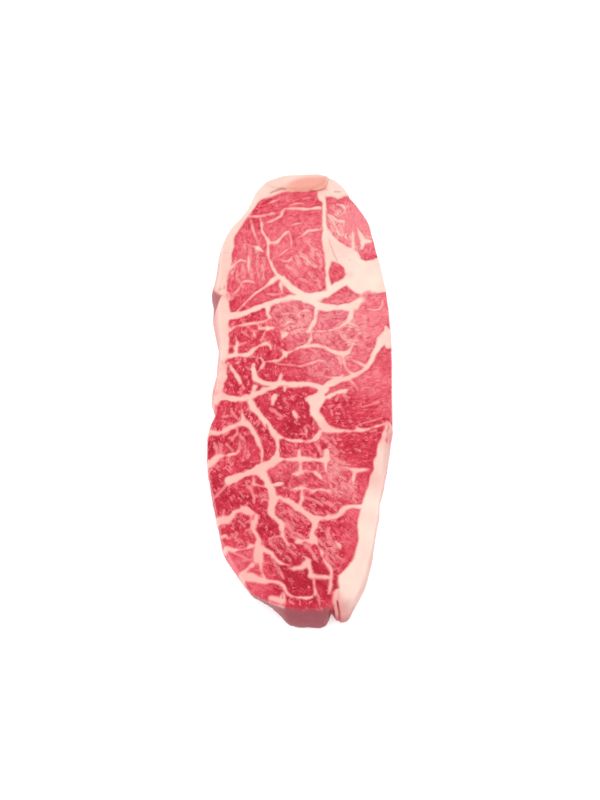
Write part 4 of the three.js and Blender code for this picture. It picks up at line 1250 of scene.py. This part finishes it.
relief = steak.modifiers.new("relief", "NODES")
relief.node_group = sculpt
for name, value in RELIEF.items():
    relief[inputs[name].identifier] = value
relief[inputs["Finish"].identifier] = beef
depsgraph = bpy.context.evaluated_depsgraph_get()
plain = bpy.data.meshes.new_from_object(
    steak.evaluated_get(depsgraph), preserve_all_data_layers=True, depsgraph=depsgraph,
)
steak.modifiers.clear()
steak.data = plain
plain.name = "marbled_slice"
plain.polygons.foreach_set("use_smooth", np.ones(len(plain.polygons), dtype=bool))
plain.update()

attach(steak, "root")
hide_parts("steak")


# The floor and the light of a plain pale studio.
# A sheet of matt white paper lies under the steak and glows a little, as lit paper does. One large
# softbox hangs over it in a pale room, so that shadows are faint.

PAPER_WHITE = "#ffffff"
PAPER_GLOW = 0.3
FLOOR_HALF = 3.0            # in metres, as the softbox's place and size are
FLOOR_TOP = -0.0002         # just under the foot, so that the two faces don't meet
ROOM_LIGHT = 1.12
SOFTBOX_PLACE = Vector((-0.1, 0.2, 1.0))
SOFTBOX_SIZE = 1.4
SOFTBOX_WATTS = 3.0
floor_mesh = bpy.data.meshes.new("pale_floor")
floor_mesh.from_pydata(
    [(sx * FLOOR_HALF, sy * FLOOR_HALF, FLOOR_TOP) for sx, sy in ((-1, -1), (1, -1), (1, 1), (-1, 1))],
    [], [(0, 1, 2, 3)],
)
floor = bpy.data.objects.new("pale_floor", floor_mesh)
bpy.context.collection.objects.link(floor)
paper = bpy.data.materials.new("matt_white_paper")
paper.use_nodes = True
for socket, value in (
    ("Base Color", linear(PAPER_WHITE)), ("Roughness", 1.0), ("Specular IOR Level", 0.0),
    ("Emission Color", linear(PAPER_WHITE)), ("Emission Strength", PAPER_GLOW),
):
    paper.node_tree.nodes["Principled BSDF"].inputs[socket].default_value = value
floor_mesh.materials.append(paper)

room = bpy.data.worlds.new("pale_room")
bpy.context.scene.world = room
room.use_nodes = True
room.node_tree.nodes["Background"].inputs["Color"].default_value = linear(PAPER_WHITE)
room.node_tree.nodes["Background"].inputs["Strength"].default_value = ROOM_LIGHT

softbox = bpy.data.lights.new("overhead_softbox", "AREA")
softbox.size = SOFTBOX_SIZE
softbox.energy = SOFTBOX_WATTS
lamp = bpy.data.objects.new("overhead_softbox", softbox)
lamp.location = SOFTBOX_PLACE
lamp.rotation_euler = (-SOFTBOX_PLACE).to_track_quat("-Z", "Y").to_euler()
bpy.context.collection.objects.link(lamp)

# The camera looks down along the steak from 70 degrees above the floor, through a long lens.
CAMERA_LENS = 100.0
CAMERA_DISTANCE = 1111.1
CAMERA_RISE = math.radians(70)
CAMERA_AIM = Vector((0, -6.4, 20))
CLIP_END = 10.0
camera_data = bpy.data.cameras.new("camera")
camera_data.lens = CAMERA_LENS
camera_data.clip_end = CLIP_END
camera = bpy.data.objects.new("camera", camera_data)
back = Vector((0, -math.cos(CAMERA_RISE), math.sin(CAMERA_RISE)))
camera.location = (CAMERA_AIM + back * CAMERA_DISTANCE) * MM
camera.rotation_euler = back.to_track_quat("Z", "Y").to_euler()
bpy.context.collection.objects.link(camera)
bpy.context.scene.camera = camera
bpy.context.scene.view_settings.view_transform = "Standard"
